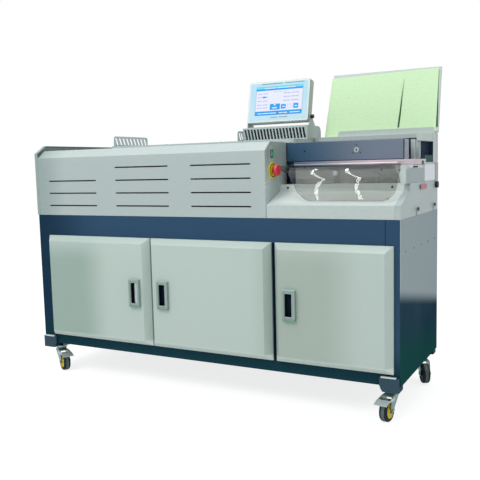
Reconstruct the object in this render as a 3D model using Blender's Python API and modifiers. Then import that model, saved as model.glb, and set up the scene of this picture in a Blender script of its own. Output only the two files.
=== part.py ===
"""Floor-standing hot-melt book binding machine, modelled as separate pieces.

Lengths are in metres. X runs along the machine from the cabinet's left side, Y runs back from the
cabinet's front plane and Z runs up from the floor. Everything hangs under one empty, which brings
the middle of the machine's box over the origin.
"""

import math

import bmesh
import bpy
from mathutils import Matrix, Vector

# Clearances
GAP = 0.0003
OVERRUN = 0.004
RUNNING_GAP = 0.0010
SHEET = 0.0015
PLATE = 0.0020

# Cabinet
CABINET_LENGTH = 1.529
CABINET_DEPTH = 0.532
CABINET_TOP = 0.665
CABINET_BOTTOM = 0.123
SIDE_PANEL = 0.003
REAR_WALL_Y = CABINET_DEPTH - SHEET
STATION_WIDTH = 0.4707
HOUSING_RIGHT = CABINET_LENGTH - STATION_WIDTH
FRAME_TUBE = 0.040
FRAME_LIP = 0.012
PARTITION = 0.002
FOOT_WIDTH = 0.065
FOOT_TOP = 0.153
FOOT_PROUD = 0.012
FOOT_TAPER = 0.010
PANEL_SCREW_HOLE = 0.0025
PANEL_SCREW_DROP = 0.018
PANEL_SCREWS = 5
BACK_VENT_LENGTH = 0.120
BACK_VENT_WIDTH = 0.006
BACK_VENT_PITCH = 0.018
BACK_VENTS = 4

# Doors
DOOR_BOTTOM = 0.164
DOOR_TOP = 0.582
DOOR_GAP = 0.005
DOOR_GAP_SHIFT = 0.001
POST_GAP = 0.014
RIGHT_DOOR_WIDTH = 0.414
RIGHT_DOOR_INSET = 0.022
LEFT_DOOR_START = 0.062
RIGHT_DOOR_END = CABINET_LENGTH - RIGHT_DOOR_INSET
RIGHT_DOOR_START = RIGHT_DOOR_END - RIGHT_DOOR_WIDTH
MIDDLE_DOOR_END = RIGHT_DOOR_START - POST_GAP
DOOR_GAP_MIDDLE = (LEFT_DOOR_START + MIDDLE_DOOR_END) / 2 - DOOR_GAP_SHIFT
LEFT_DOOR_END = DOOR_GAP_MIDDLE - DOOR_GAP / 2
MIDDLE_DOOR_START = DOOR_GAP_MIDDLE + DOOR_GAP / 2
DOOR_WALL = 0.008
DOOR_BEVEL_DEPTH = 0.027
DOOR_BEVEL_WIDTH = 0.030
DOOR_RETURN = 0.012
FACING_SHARE = 0.5
DOOR_HINGE_OFFSET = 0.003

# Door handles
HANDLE_WIDTH = 0.048
HANDLE_HEIGHT = 0.108
HANDLE_PROUD = 0.012
HANDLE_MIDDLE = 0.373
HANDLE_RIM = 0.008
HANDLE_CUP_DEPTH = 0.022
HANDLE_CUP_WALL = 0.0015
HANDLE_BEVEL = 0.003
LEFT_HANDLE_INSET = 0.056
MIDDLE_HANDLE_INSET = 0.0685
RIGHT_HANDLE_INSET = 0.064
HANDLE_SIDE_CLEAR = 0.0005

# Casters
CASTER_HEIGHT = 0.105
CASTER_INSET = 0.045
CASTER_PLATE = 0.060
CASTER_PLATE_THICKNESS = 0.003
CASTER_PLATE_CORNER = 0.008
CASTER_RACE = 0.022
CASTER_RACE_HEIGHT = 0.006
RACE_STEP_SHARE = 0.8
WHEEL_RADIUS = 0.0375
WHEEL_WIDTH = 0.028
WHEEL_SHOULDER = 0.004
WHEEL_HUB = 0.024
WHEEL_HUB_RECESS = 0.004
WHEEL_BOSS = 0.009
CASTER_TRAIL = 0.035
FORK_SHEET = 0.0025
FORK_SIDE_CLEAR = 0.003
FORK_HALF_LENGTH = 0.022
FORK_CROWN_DROP = 0.0105
FORK_FOOT = 0.011
AXLE_RADIUS = 0.004
AXLE_HEAD = 0.0065
AXLE_HEAD_HEIGHT = 0.003
PEDAL_PIVOT_REACH = 0.026
PEDAL_PIVOT_HEIGHT = 0.0765
PEDAL_PIN = 0.003
PEDAL_ARM = 0.006
PEDAL_PAD_START = 0.062
PEDAL_PAD_END = 0.090
PEDAL_PAD_TOP = 0.080
PEDAL_PAD_DROP = 0.010
PEDAL_SHEET = 0.0025
KING_PIN = 0.005
FRONT_RIGHT_TRAIL = math.radians(-97.0)
FRONT_LEFT_TRAIL = math.radians(-30.0)
REAR_RIGHT_TRAIL = math.radians(-62.0)
REAR_LEFT_TRAIL = math.radians(-75.0)

# Housing over the milling and gluing stations
COVER_LEFT = 0.010
COVER_SHOULDER = 0.8985
COVER_TOP = 0.929
COVER_CHAMFER = 0.040
COVER_HINGE_Y = 0.2495
COVER_HINGE_RISE = 0.0015
COVER_HINGE_RADIUS = 0.0022
COVER_RETURN = 0.015
SLOT_WIDTH = 0.005
SLOT_LEFT_START = 0.066
SLOT_END_INSET = 0.0563
SLOT_SPACING = 0.096
SLOT_MIDDLE_SHIFT = 0.001
SLOT_SPAN = HOUSING_RIGHT - SLOT_END_INSET - SLOT_LEFT_START
SLOT_LENGTH = (SLOT_SPAN - 2 * SLOT_SPACING) / 3
SLOT_RIGHT_START = HOUSING_RIGHT - SLOT_END_INSET - SLOT_LENGTH
SLOT_MIDDLE_START = (SLOT_LEFT_START + SLOT_RIGHT_START) / 2 - SLOT_MIDDLE_SHIFT
SLOT_COLUMNS = (SLOT_LEFT_START, SLOT_MIDDLE_START, SLOT_RIGHT_START)
SLOT_LOW_ROW = 0.7045
SLOT_SECOND_ROW = 0.7545
SLOT_THIRD_ROW = 0.804
SLOT_TOP_ROW = 0.8535
SLOT_ROWS = (SLOT_LOW_ROW, SLOT_SECOND_ROW, SLOT_THIRD_ROW, SLOT_TOP_ROW)
END_PLATE_PROUD = 0.006
END_PLATE_FLANGE = 0.015
END_PLATE_SHOULDER = 0.919
END_PLATE_TOP = 0.951
END_PLATE_CHAMFER = 0.052
BED_THICKNESS = 0.006
BED_INSET = 0.012
BED_FRONT = 0.020
BULKHEAD_THICKNESS = 0.010
BULKHEAD_TOP = 0.834
BULKHEAD_REAR = 0.352

# Top deck, guards and hood
DECK_STEP_X = 0.199
DECK_TOP = 0.944
LEFT_LOUVRE_LENGTH = 0.2465
RIGHT_LOUVRE_LENGTH = 0.1815
RIGHT_LOUVRE_FRONT = 0.3475
RIGHT_LOUVRE_CLEAR = 0.0025
LOUVRE_HEIGHT = 0.044
LOUVRE_CORNER = 0.012
LOUVRE_SLOTS = 9
LOUVRE_SLOT_WIDTH = 0.011
LOUVRE_SLOT_MARGIN = 0.008
LOUVRE_LEAN = 0.012
LOUVRE_FOOT = 0.012
HOOD_LENGTH = 0.2863
HOOD_LEFT = HOUSING_RIGHT - HOOD_LENGTH
HOOD_DEPTH = 0.1425
HOOD_FRONT = REAR_WALL_Y - HOOD_DEPTH
HOOD_TOP = 1.000
HOOD_CORNER = 0.025
HOOD_SLOTS = 19
HOOD_SLOT_WIDTH = 0.0088
HOOD_SLOT_MARGIN = 0.007
HOOD_LEAN = 0.008

# Touch panel
SCREEN_WIDTH = 0.268
SCREEN_HEIGHT = 0.170
SCREEN_DEPTH = 0.038
SCREEN_INSET = 0.0043
SCREEN_RIGHT = HOUSING_RIGHT - SCREEN_INSET
SCREEN_AXIS_SETBACK = 0.1045
SCREEN_AXIS_Y = REAR_WALL_Y - SCREEN_AXIS_SETBACK
SCREEN_AXIS_Z = 1.035
SCREEN_TILT = math.radians(12.4)
SCREEN_AXIS_FROM_FRONT = 0.0224
SCREEN_AXIS_FROM_BOTTOM = 0.0193
SCREEN_CORNER = 0.006
SCREEN_LCD_LEFT = 0.034
SCREEN_LCD_BOTTOM = 0.029
SCREEN_LCD_WIDTH = 0.205
SCREEN_LCD_HEIGHT = 0.117
SCREEN_GLASS = 0.002
LOBE_DEPTH_SHARE = 0.07
CLAMP_ROD = 0.003
CLAMP_ROD_CLEAR = 0.0035
CLAMP_KNOB = 0.008
CLAMP_KNOB_WIDTH = 0.012
CLAMP_KNOB_LOBES = 6
CLAMP_ROD_END = 0.003
BRACKET_SHEET = 0.0025
BRACKET_EAR = 0.014
BRACKET_FRONT_REACH = 0.018
BRACKET_FRONT = SCREEN_AXIS_Y - BRACKET_FRONT_REACH
BRACKET_REAR_REACH = 0.044
BRACKET_REAR = SCREEN_AXIS_Y + BRACKET_REAR_REACH
BRACKET_CLEAR = 0.0008

# Controls
CONTROL_PLATE_REAR = 0.176
CONTROL_Y = 0.051
EMERGENCY_Z = 0.829
EMERGENCY_COLLAR = 0.030
EMERGENCY_COLLAR_THICKNESS = 0.004
EMERGENCY_NECK = 0.012
EMERGENCY_HEAD = 0.0205
EMERGENCY_HEAD_HEIGHT = 0.012
EMERGENCY_PROUD = 0.027
EMERGENCY_STEM = 0.008
EMERGENCY_STEM_LENGTH = 0.022
EMERGENCY_TRAVEL = 0.005
COLLAR_CROWN_SHARE = 0.62
HEAD_CROWN_SHARE = 0.6
HEAD_EDGE_SHARE = 0.93
HEAD_CROWN_DROP_SHARE = 0.2
HEAD_EDGE_DROP_SHARE = 0.8
SWITCH_Z = 0.887
SWITCH_HEIGHT = 0.020
SWITCH_WIDTH = 0.011
SWITCH_PROUD = 0.003
SWITCH_DEPTH = 0.007

# Loading station
DECK_FRONT_TOP = 0.7105
DECK_SLOPE_REAR = 0.112
DECK_SLOPE_TOP = 0.7525
DECK_RISER_Y = 0.118
DECK_RISER_TOP = 0.777
DECK_FLANGE_REAR = 0.160
SIDE_PLATE_INSET = 0.020
SIDE_PLATE_X = CABINET_LENGTH - SIDE_PLATE_INSET
SIDE_PLATE_RIM = 0.0025
KEYHOLE_FRONT_Y = 0.200
KEYHOLE_SETBACK = 0.0755
KEYHOLE_Y = (KEYHOLE_FRONT_Y, REAR_WALL_Y - KEYHOLE_SETBACK)
KEYHOLE_WIDTH = 0.011
KEYHOLE_TOP = 0.689
KEYHOLE_HEAD = 0.0075
KEYHOLE_HEAD_HEIGHT = 0.005
KEYHOLE_ROUND_SHARE = 0.98
INNER_PANEL_START = 0.0267
INNER_PANEL_LEFT = HOUSING_RIGHT + INNER_PANEL_START
INNER_PANEL_CLEAR = 0.006
INNER_PANEL_RIGHT = SIDE_PLATE_X - INNER_PANEL_CLEAR
INNER_PANEL_Y = 0.150
GUSSET_WIDTH = 0.010
GUSSET_FRONT = 0.128
STOP_KNOB_INSET = 0.241
STOP_KNOB_X = INNER_PANEL_RIGHT - STOP_KNOB_INSET
STOP_KNOB_Z = 0.812
STOP_KNOB_RADIUS = 0.009
STOP_KNOB_LENGTH = 0.016
STOP_KNOB_CROWN_SHARE = 0.7
TABLE_START = 0.0472
TABLE_LEFT = HOUSING_RIGHT + TABLE_START
TABLE_OVERHANG = 0.002
TABLE_RIGHT = CABINET_LENGTH + TABLE_OVERHANG
TABLE_FRONT = 0.140
TABLE_REAR = 0.330
TABLE_TOP = 0.856
TABLE_THICKNESS = 0.006
TABLE_LIP = 0.019
TABLE_HOLE = 0.0025
TABLE_HOLE_INSETS = (0.401, 0.261, 0.131, 0.041)
SHIELD_AXIS_Y = 0.134
SHIELD_AXIS_Z = 0.845
SHIELD_ROD = 0.003
SHIELD_LUG = 0.012
LUG_HEIGHT_SHARE = 0.9
SHIELD_LUG_INSETS = (0.410, 0.2405, 0.0605)
SHIELD_LUGS_X = tuple(TABLE_RIGHT - inset for inset in SHIELD_LUG_INSETS)
SHIELD_SHEET = 0.003
SHIELD_BULGE_Y = 0.062
SHIELD_BULGE_Z = 0.838
SHIELD_END_Y = 0.018
SHIELD_END_Z = 0.7245
SHIELD_TIP_START = 0.0057
SHIELD_TIP_X = HOUSING_RIGHT + SHIELD_TIP_START
SHIELD_TOP_INSET = 0.077
SHIELD_TOP_RIGHT = TABLE_RIGHT - SHIELD_TOP_INSET
SHIELD_FOOT_START = 0.1747
SHIELD_LEFT_FOOT = HOUSING_RIGHT + SHIELD_FOOT_START
SHIELD_SHOULDER_START = 0.0717
SHIELD_SHOULDER_X = HOUSING_RIGHT + SHIELD_SHOULDER_START
SHIELD_SHOULDER_Z = 0.815
SHIELD_WAIST_START = 0.1057
SHIELD_WAIST_X = HOUSING_RIGHT + SHIELD_WAIST_START
SHIELD_WAIST_Z = 0.751
SHIELD_RIGHT_INSET = 0.0255
SHIELD_RIGHT = TABLE_RIGHT - SHIELD_RIGHT_INSET
SHIELD_RIGHT_Z = 0.768
SHIELD_FOOT_INSET = 0.091
SHIELD_FOOT_RIGHT = TABLE_RIGHT - SHIELD_FOOT_INSET

# Right frame
FRAME_PLATE_INSET = 0.018
FRAME_PLATE_X = CABINET_LENGTH - FRAME_PLATE_INSET
FRAME_FRONT = 0.061
FRAME_BLOCK_FRONT = 0.333
FRAME_BLOCK_TOP = 0.869
FRAME_POST_DEPTH = 0.0825
FRAME_POST_FRONT = REAR_WALL_Y - FRAME_POST_DEPTH
FRAME_ARM_FRONT = 0.272
FRAME_ARM_BOTTOM = 0.919
FRAME_ARM_TOP = 0.947
SIDE_KNOB_SETBACK = 0.0405
SIDE_KNOB_Y = REAR_WALL_Y - SIDE_KNOB_SETBACK
SIDE_KNOB_Z = 0.760
SIDE_KNOB_RADIUS = 0.013
SIDE_KNOB_PROUD = 0.012
SIDE_KNOB_STEM = 0.004
SIDE_KNOB_STEM_LENGTH = 0.014

# Book clamp and its rails
JAW_LENGTH = 0.430
JAW_END_CLEAR = 0.021
JAW_RIGHT = FRAME_PLATE_X - JAW_END_CLEAR
JAW_BOTTOM = 0.858
JAW_TOP = 0.9255
JAW_FRONT_CLEAR = 0.0025
FRONT_JAW_DEPTH = 0.068
BOOK_GAP = 0.035
JAW_BEVEL = 0.0015
REAR_JAW_DEPTH = 0.064
CARRIAGE_REAR = 0.431
CARRIAGE_SHELF = 0.919
BEARING_FRONT = 0.365
BEARING_BOTTOM = 0.775
BEARING_LENGTH = 0.060
GUIDE_ROD = 0.010
GUIDE_ROD_Y = 0.398
GUIDE_ROD_LOW = 0.800
GUIDE_ROD_HIGH = 0.893
GUIDE_PLATE_THICKNESS = 0.014
GUIDE_PLATE_MARGIN = 0.020
GUIDE_PLATE_CLEAR = 0.003
GUIDE_PLATE_RIGHT = FRAME_PLATE_X - GUIDE_PLATE_CLEAR
CROSS_ROD = 0.004
CROSS_ROD_INSET = 0.009
CROSS_ROD_Z = 0.867
CROSS_ROD_LENGTH = 0.085
LOCK_KNOB_INSET = 0.164
LOCK_KNOB_X = JAW_RIGHT - LOCK_KNOB_INSET
LOCK_KNOB_Z = 0.893
LOCK_KNOB_RADIUS = 0.009
LOCK_KNOB_PROUD = 0.0018
LOCK_SLOT_WIDTH = 0.003
LOCK_SLOT_SHARE = 0.55
SIGHT_HOLE_INSET = 0.359
SIGHT_HOLE_X = JAW_RIGHT - SIGHT_HOLE_INSET
SIGHT_HOLE_RADIUS = 0.003

# Rear cover and cover feeder
BEAM_DEPTH = 0.0805
BEAM_FRONT = REAR_WALL_Y - BEAM_DEPTH
BEAM_TOP = 0.952
BEAM_LIP = 0.017
REAR_VENTS = 4
GUIDE_LENGTH = 0.375
GUIDE_RIGHT = CABINET_LENGTH
GUIDE_LEFT = GUIDE_RIGHT - GUIDE_LENGTH
GUIDE_SETBACK = 0.0605
GUIDE_Y = REAR_WALL_Y - GUIDE_SETBACK
GUIDE_TOP = 0.973
GUIDE_FOOT = 0.014
GUIDE_CORNER = 0.010
FEED_TILT = math.radians(12.0)
FEED_SETBACK = 0.041
FEED_Y = REAR_WALL_Y - FEED_SETBACK
FEED_BOARD_WIDTH = 0.426
FEED_BOARD_OVERHANG = 0.009
FEED_BOARD_RIGHT = GUIDE_RIGHT + FEED_BOARD_OVERHANG
FEED_BOARD_LEFT = FEED_BOARD_RIGHT - FEED_BOARD_WIDTH
FEED_BOARD_HEIGHT = 0.254
FEED_BOARD_DEPTH = 0.012
FEED_SHEET_WIDTH = 0.439
FEED_SHEET_TOP_WIDTH = 0.421
FEED_SHEET_RIGHT = GUIDE_RIGHT
FEED_SHEET_LEFT = FEED_SHEET_RIGHT - FEED_SHEET_WIDTH
FEED_SHEET_TOP_LEFT = FEED_SHEET_RIGHT - FEED_SHEET_TOP_WIDTH
FEED_SHEET_HEIGHT = 0.249
FEED_SHEET_LEFT_HEIGHT = 0.240
FEED_SHEET_THICKNESS = 0.0012
FEED_SLIT_INSET = 0.135
FEED_SLIT_X = FEED_SHEET_RIGHT - FEED_SLIT_INSET
FEED_SLIT_TOP = 0.205
FEED_SLIT_WIDTH = 0.004
FEED_SLIT_LEAN = 0.010
FEED_SLIT_BEND_SHARE = 0.6
INLET_X = 0.150
INLET_Z = 0.720
INLET_WIDTH = 0.050
INLET_HEIGHT = 0.032
INLET_PROUD = 0.003
INLET_BODY_DEPTH = 0.030
INLET_RIM = 0.006
INLET_CORNER = 0.004

# Milling and gluing units
CUTTER_INSET = 0.1783
CUTTER_X = HOUSING_RIGHT - CUTTER_INSET
CUTTER_Y = 0.263
CUTTER_TOP = 0.853
CUTTER_RADIUS = 0.055
CUTTER_TOOTH_SHARES = (0.0, 0.62, 0.92)
CUTTER_TOOTH_DEPTH = 0.005
CUTTER_TEETH = 18
CUTTER_THICKNESS = 0.007
CUTTER_HUB = 0.020
SPINDLE_RADIUS = 0.009
SPINDLE_LENGTH = 0.050
SPINDLE_HOUSING_RADIUS = 0.034
SPINDLE_HOUSING_TOP = 0.832
TANK_LENGTH = 0.170
TANK_INSET = 0.3683
TANK_RIGHT = HOUSING_RIGHT - TANK_INSET
TANK_LEFT = TANK_RIGHT - TANK_LENGTH
TANK_FRONT = 0.215
TANK_REAR = 0.345
TANK_WALL = 0.008
TANK_RIM = 0.800
TANK_SIDE_TOP = 0.840
TANK_FLOOR = 0.720
ROLLER_RADIUS = 0.027
ROLLER_TOP = 0.851
ROLLER_SIDE_CLEAR = 0.0010
ROLLER_SHAFT = 0.005
ROLLER_SPACING = 0.058
GEAR_TEETH = 24
GEAR_ADDENDUM = 0.0021
GEAR_DEDENDUM = 0.0031
GEAR_WIDTH = 0.010
GEAR_TOOTH = 0.0030

# Places that follow from the sizes above
SEAT_Z = CABINET_TOP + GAP
FRAME_LEFT = SIDE_PANEL + GAP
FRAME_RIGHT = CABINET_LENGTH - SIDE_PANEL - GAP
DOOR_DEPTH = DOOR_WALL + DOOR_BEVEL_DEPTH
BED_TOP = SEAT_Z + BED_THICKNESS
JAW_LEFT = JAW_RIGHT - JAW_LENGTH
FRONT_JAW_Y = CONTROL_PLATE_REAR + JAW_FRONT_CLEAR
FRONT_JAW_REAR = FRONT_JAW_Y + FRONT_JAW_DEPTH
REAR_JAW_Y = FRONT_JAW_REAR + BOOK_GAP
ROLLER_Z = ROLLER_TOP - ROLLER_RADIUS
FRONT_ROLLER_X = (TANK_LEFT + TANK_RIGHT - ROLLER_SPACING) / 2
REAR_ROLLER_X = FRONT_ROLLER_X + ROLLER_SPACING
FRAME_BASE_TOP = TABLE_TOP - TABLE_LIP - GAP
JAW_TRAVEL = BOOK_GAP - RUNNING_GAP
STATION_LEFT = HOUSING_RIGHT + PLATE + GAP
DECK_FRONT = COVER_HINGE_Y + COVER_HINGE_RADIUS + RUNNING_GAP
COVER_RIGHT = HOUSING_RIGHT - GAP
DECK_UNDER = COVER_TOP - SHEET

# Smoothness of round forms, in straight steps
ROUND = 24
SMALL_ROUND = 16
CORNER = 3


def linear(channel):
    """Turn one display colour channel from 0 to 255 into the linear value of a material."""
    share = channel / 255
    if share <= 0.04045:
        return share / 12.92
    return ((share + 0.055) / 1.055) ** 2.4


def finish(name, colour, roughness, metallic=0.0, alpha=1.0):
    """Make one surface finish from a display colour."""
    material = bpy.data.materials.new(name)
    material.use_nodes = True
    shader = material.node_tree.nodes["Principled BSDF"]
    shader.inputs["Base Color"].default_value = (*[linear(channel) for channel in colour], 1.0)
    shader.inputs["Roughness"].default_value = roughness
    shader.inputs["Metallic"].default_value = metallic
    shader.inputs["Alpha"].default_value = alpha
    return material


def finishes():
    """Make every finish of the machine, by name."""
    return {
        "light": finish("light_grey_paint", (186, 200, 197), 0.45),
        "door": finish("door_grey_paint", (166, 182, 178), 0.42),
        "shade": finish("end_grey_paint", (146, 164, 161), 0.45),
        "blue": finish("dark_blue_paint", (48, 76, 96), 0.40),
        "jaw": finish("clamp_blue_paint", (104, 121, 137), 0.42),
        "zinc": finish("zinc_plate", (176, 182, 180), 0.32, 1.0),
        "steel": finish("bright_steel", (196, 200, 200), 0.25, 1.0),
        "aluminium": finish("satin_aluminium", (205, 207, 208), 0.36, 1.0),
        "chrome": finish("handle_chrome", (214, 217, 218), 0.12, 1.0),
        "tyre": finish("caster_tyre", (52, 56, 56), 0.62),
        "black": finish("black_plastic", (22, 24, 26), 0.45),
        "white": finish("white_plastic", (238, 240, 240), 0.35),
        "green": finish("switch_green", (36, 160, 84), 0.30),
        "red": finish("emergency_red", (206, 66, 82), 0.38),
        "yellow": finish("emergency_yellow", (222, 204, 60), 0.42),
        "case": finish("screen_case_grey", (226, 229, 227), 0.45),
        "screen": finish("screen_glass", (206, 222, 242), 0.12),
        "clear": finish("clear_shield", (206, 214, 214), 0.06, 0.0, 0.35),
        "paper": finish("green_cover_stock", (206, 234, 192), 0.85),
        "rubber": finish("glue_roller_silicone", (96, 88, 76), 0.55),
        "cast": finish("cast_tank", (120, 124, 124), 0.50, 0.8),
    }


def rectangle(u_low, v_low, u_high, v_high):
    """Corners of an upright rectangle, counterclockwise."""
    corners = ((u_low, v_low), (u_high, v_low), (u_high, v_high), (u_low, v_high))
    return [Vector(corner) for corner in corners]


def arc(centre, radius, start, end, steps):
    """Points along an arc, both ends included."""
    points = []
    for step in range(steps + 1):
        angle = start + (end - start) * step / steps
        points.append(Vector((centre[0] + radius * math.cos(angle), centre[1] + radius * math.sin(angle))))
    return points


def circle(centre, radius, steps=SMALL_ROUND):
    """Points round a whole circle."""
    return arc(centre, radius, 0.0, math.tau, steps)[:-1]


def rounded(u_low, v_low, u_high, v_high, radii):
    """Rectangle with round corners: lower left, lower right, upper right and upper left radius."""
    corners = rectangle(u_low, v_low, u_high, v_high)
    inward = ((1, 1), (-1, 1), (-1, -1), (1, -1))
    points = []
    for index, (corner, radius) in enumerate(zip(corners, radii)):
        if not radius:
            points.append(corner)
            continue
        centre = (corner[0] + inward[index][0] * radius, corner[1] + inward[index][1] * radius)
        start = math.pi + index * math.pi / 2
        points.extend(arc(centre, radius, start, start + math.pi / 2, CORNER))
    return points


def slot(u_start, v_middle, length, width):
    """Slot with round ends, lying along U."""
    half = width / 2
    quarter = math.pi / 2
    right = arc((u_start + length - half, v_middle), half, -quarter, quarter, CORNER)
    return right + arc((u_start + half, v_middle), half, quarter, 3 * quarter, CORNER)


def leaning_slot(u_middle, v_low, v_high, width, lean):
    """Upright slot whose top leans towards lower U."""
    half = width / 2
    return [
        Vector((u_middle - half + lean / 2, v_low)),
        Vector((u_middle + half + lean / 2, v_low)),
        Vector((u_middle + half - lean / 2, v_high)),
        Vector((u_middle - half - lean / 2, v_high)),
    ]


def moved_sideways(path, distance, closed=False):
    """Shift an outline to its left by a distance, with mitred corners."""
    points = [Vector(point) for point in path]
    count = len(points)
    moved = []
    for index, point in enumerate(points):
        sides = []
        if closed or index > 0:
            sides.append(point - points[index - 1])
        if closed or index < count - 1:
            sides.append(points[(index + 1) % count] - point)
        normals = [Vector((-side.y, side.x)).normalized() for side in sides]
        mean = (normals[0] + normals[-1]).normalized()
        moved.append(point + mean * (distance / mean.dot(normals[0])))
    return moved


def band(path, thickness):
    """Closed outline of a sheet that follows a path and lies on its left side."""
    return [Vector(point) for point in path] + list(reversed(moved_sideways(path, thickness)))


def bend(start, control, end, steps):
    """Smooth curve between two points, drawn towards a control point."""
    start, control, end = Vector(start), Vector(control), Vector(end)
    points = []
    for step in range(steps + 1):
        part = step / steps
        points.append(start * (1 - part) ** 2 + control * (2 * part * (1 - part)) + end * part ** 2)
    return points


class Bench:
    """Makes the pieces in one collection and the shapes that cut or join them in another."""

    def __init__(self):
        self.looks = finishes()
        self.parts = bpy.data.collections.new("thermal_binding_machine")
        self.helpers = bpy.data.collections.new("cutters")
        bpy.context.scene.collection.children.link(self.parts)
        bpy.context.scene.collection.children.link(self.helpers)
        self.root = self.empty("machine", (0.0, 0.0, 0.0))

    def empty(self, name, place, parent=None, turn=(0.0, 0.0, 0.0)):
        """Make an empty that carries pieces or stands on a joint's axis."""
        holder = bpy.data.objects.new(name, None)
        holder.location = place
        holder.rotation_euler = turn
        holder.parent = parent
        self.helpers.objects.link(holder)
        return holder

    def add(self, name, mesh, look, parent):
        """Put a mesh in the scene as a piece, or as a helper when it has no look."""
        piece = bpy.data.objects.new(name or "helper", mesh)
        piece.parent = parent or self.root
        if look:
            mesh.materials.append(self.looks[look])
            self.parts.objects.link(piece)
        else:
            piece.hide_render = True
            piece.display_type = "WIRE"
            self.helpers.objects.link(piece)
        return piece

    def box(self, low, high, name=None, look=None, parent=None):
        """Upright box between two corners."""
        low, high = Vector(low), Vector(high)
        mesh = bpy.data.meshes.new(name or "helper")
        cube = bmesh.new()
        bmesh.ops.create_cube(cube, size=1.0)
        bmesh.ops.scale(cube, vec=high - low, verts=cube.verts)
        bmesh.ops.translate(cube, vec=(high + low) / 2, verts=cube.verts)
        cube.to_mesh(mesh)
        cube.free()
        return self.add(name, mesh, look, parent)

    def prism(self, loops, axis, start, end, name=None, look=None, parent=None):
        """Extrude an outline along an axis; further loops inside it are holes.

        The outline lies in YZ for axis X, in XZ for axis Y and in XY for axis Z.
        """
        curve = bpy.data.curves.new("outline", "CURVE")
        curve.dimensions = "2D"
        curve.fill_mode = "BOTH"
        curve.extrude = (end - start) / 2
        for loop in loops:
            spline = curve.splines.new("POLY")
            spline.points.add(len(loop) - 1)
            for point, place in zip(spline.points, loop):
                point.co = (place[0], place[1], 0.0, 1.0)
            spline.use_cyclic_u = True
        flat = bpy.data.objects.new("outline", curve)
        bpy.context.scene.collection.objects.link(flat)
        graph = bpy.context.evaluated_depsgraph_get()
        mesh = bpy.data.meshes.new_from_object(flat.evaluated_get(graph))
        bpy.data.objects.remove(flat)
        bpy.data.curves.remove(curve)
        weld(mesh)
        middle = (start + end) / 2
        turns = {
            "X": Matrix(((0, 0, 1, middle), (1, 0, 0, 0), (0, 1, 0, 0), (0, 0, 0, 1))),
            "Y": Matrix(((1, 0, 0, 0), (0, 0, -1, middle), (0, 1, 0, 0), (0, 0, 0, 1))),
            "Z": Matrix.Translation((0, 0, middle)),
        }
        mesh.transform(turns[axis])
        return self.add(name, mesh, look, parent)

    def turned(self, profile, axis, place, name=None, look=None, parent=None, steps=ROUND):
        """Turn a profile of (radius, height) points, which runs down its outer side, about an axis."""
        mesh = bpy.data.meshes.new(name or "helper")
        line = bmesh.new()
        corners = [line.verts.new((radius, 0.0, height)) for radius, height in profile]
        for first, second in zip(corners, corners[1:]):
            line.edges.new((first, second))
        if profile[0][0] > 0:
            line.edges.new((corners[-1], corners[0]))
        line.to_mesh(mesh)
        line.free()
        piece = self.add(name, mesh, look, parent)
        screw = piece.modifiers.new("turn", "SCREW")
        screw.axis = "Z"
        screw.angle = math.tau
        screw.steps = steps
        screw.render_steps = steps
        screw.use_merge_vertices = True
        screw.merge_threshold = 0.00001
        piece.location = place
        quarter = math.pi / 2
        piece.rotation_euler = {"X": (0, quarter, 0), "Y": (-quarter, 0, 0), "Z": (0, 0, 0)}[axis]
        return piece

    def rod(self, radius, axis, place, start, end, name=None, look=None, parent=None, steps=SMALL_ROUND):
        """Plain round rod along an axis, between two distances from its place."""
        profile = [(0.0, end), (radius, end), (radius, start), (0.0, start)]
        return self.turned(profile, axis, place, name, look, parent, steps)

    def combine(self, piece, tool, operation):
        """Join or cut a piece with a helper shape."""
        change = piece.modifiers.new(operation.lower(), "BOOLEAN")
        change.operation = operation
        change.solver = "EXACT"
        change.object = tool

    def cut(self, piece, *tools):
        """Take helper shapes out of a piece."""
        for tool in tools:
            self.combine(piece, tool, "DIFFERENCE")

    def join(self, piece, *tools):
        """Make helper shapes part of a piece."""
        for tool in tools:
            self.combine(piece, tool, "UNION")


def weld(mesh):
    """Close the seams between an outline's caps and its side walls."""
    shape = bmesh.new()
    shape.from_mesh(mesh)
    bmesh.ops.remove_doubles(shape, verts=shape.verts, dist=0.000001)
    bmesh.ops.recalc_face_normals(shape, faces=shape.faces)
    shape.to_mesh(mesh)
    shape.free()


def set_origin(piece, place):
    """Move a piece's origin to a place in its parent's space, without moving the piece."""
    piece.data.transform(Matrix.Translation(-Vector(place)))
    piece.location = place


def bevel(piece, width, segments=2):
    """Round a piece's edges."""
    change = piece.modifiers.new("bevel", "BEVEL")
    change.width = width
    change.segments = segments
    change.limit_method = "ANGLE"


def door_spans():
    """Start and end of each door along X."""
    return (
        (LEFT_DOOR_START, LEFT_DOOR_END),
        (MIDDLE_DOOR_START, MIDDLE_DOOR_END),
        (RIGHT_DOOR_START, RIGHT_DOOR_END),
    )


def foot_block(bench, outer, inner, front, rear):
    """Block under a corner post, with its lower inner edge cut back."""
    side = math.copysign(FOOT_TAPER, outer - inner)
    outline = [
        Vector((outer, CASTER_HEIGHT)),
        Vector((inner + side, CASTER_HEIGHT)),
        Vector((inner, CASTER_HEIGHT + 2 * FOOT_TAPER)),
        Vector((inner, FOOT_TOP)),
        Vector((outer, FOOT_TOP)),
    ]
    return bench.prism([outline], "Y", front, rear)


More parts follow.
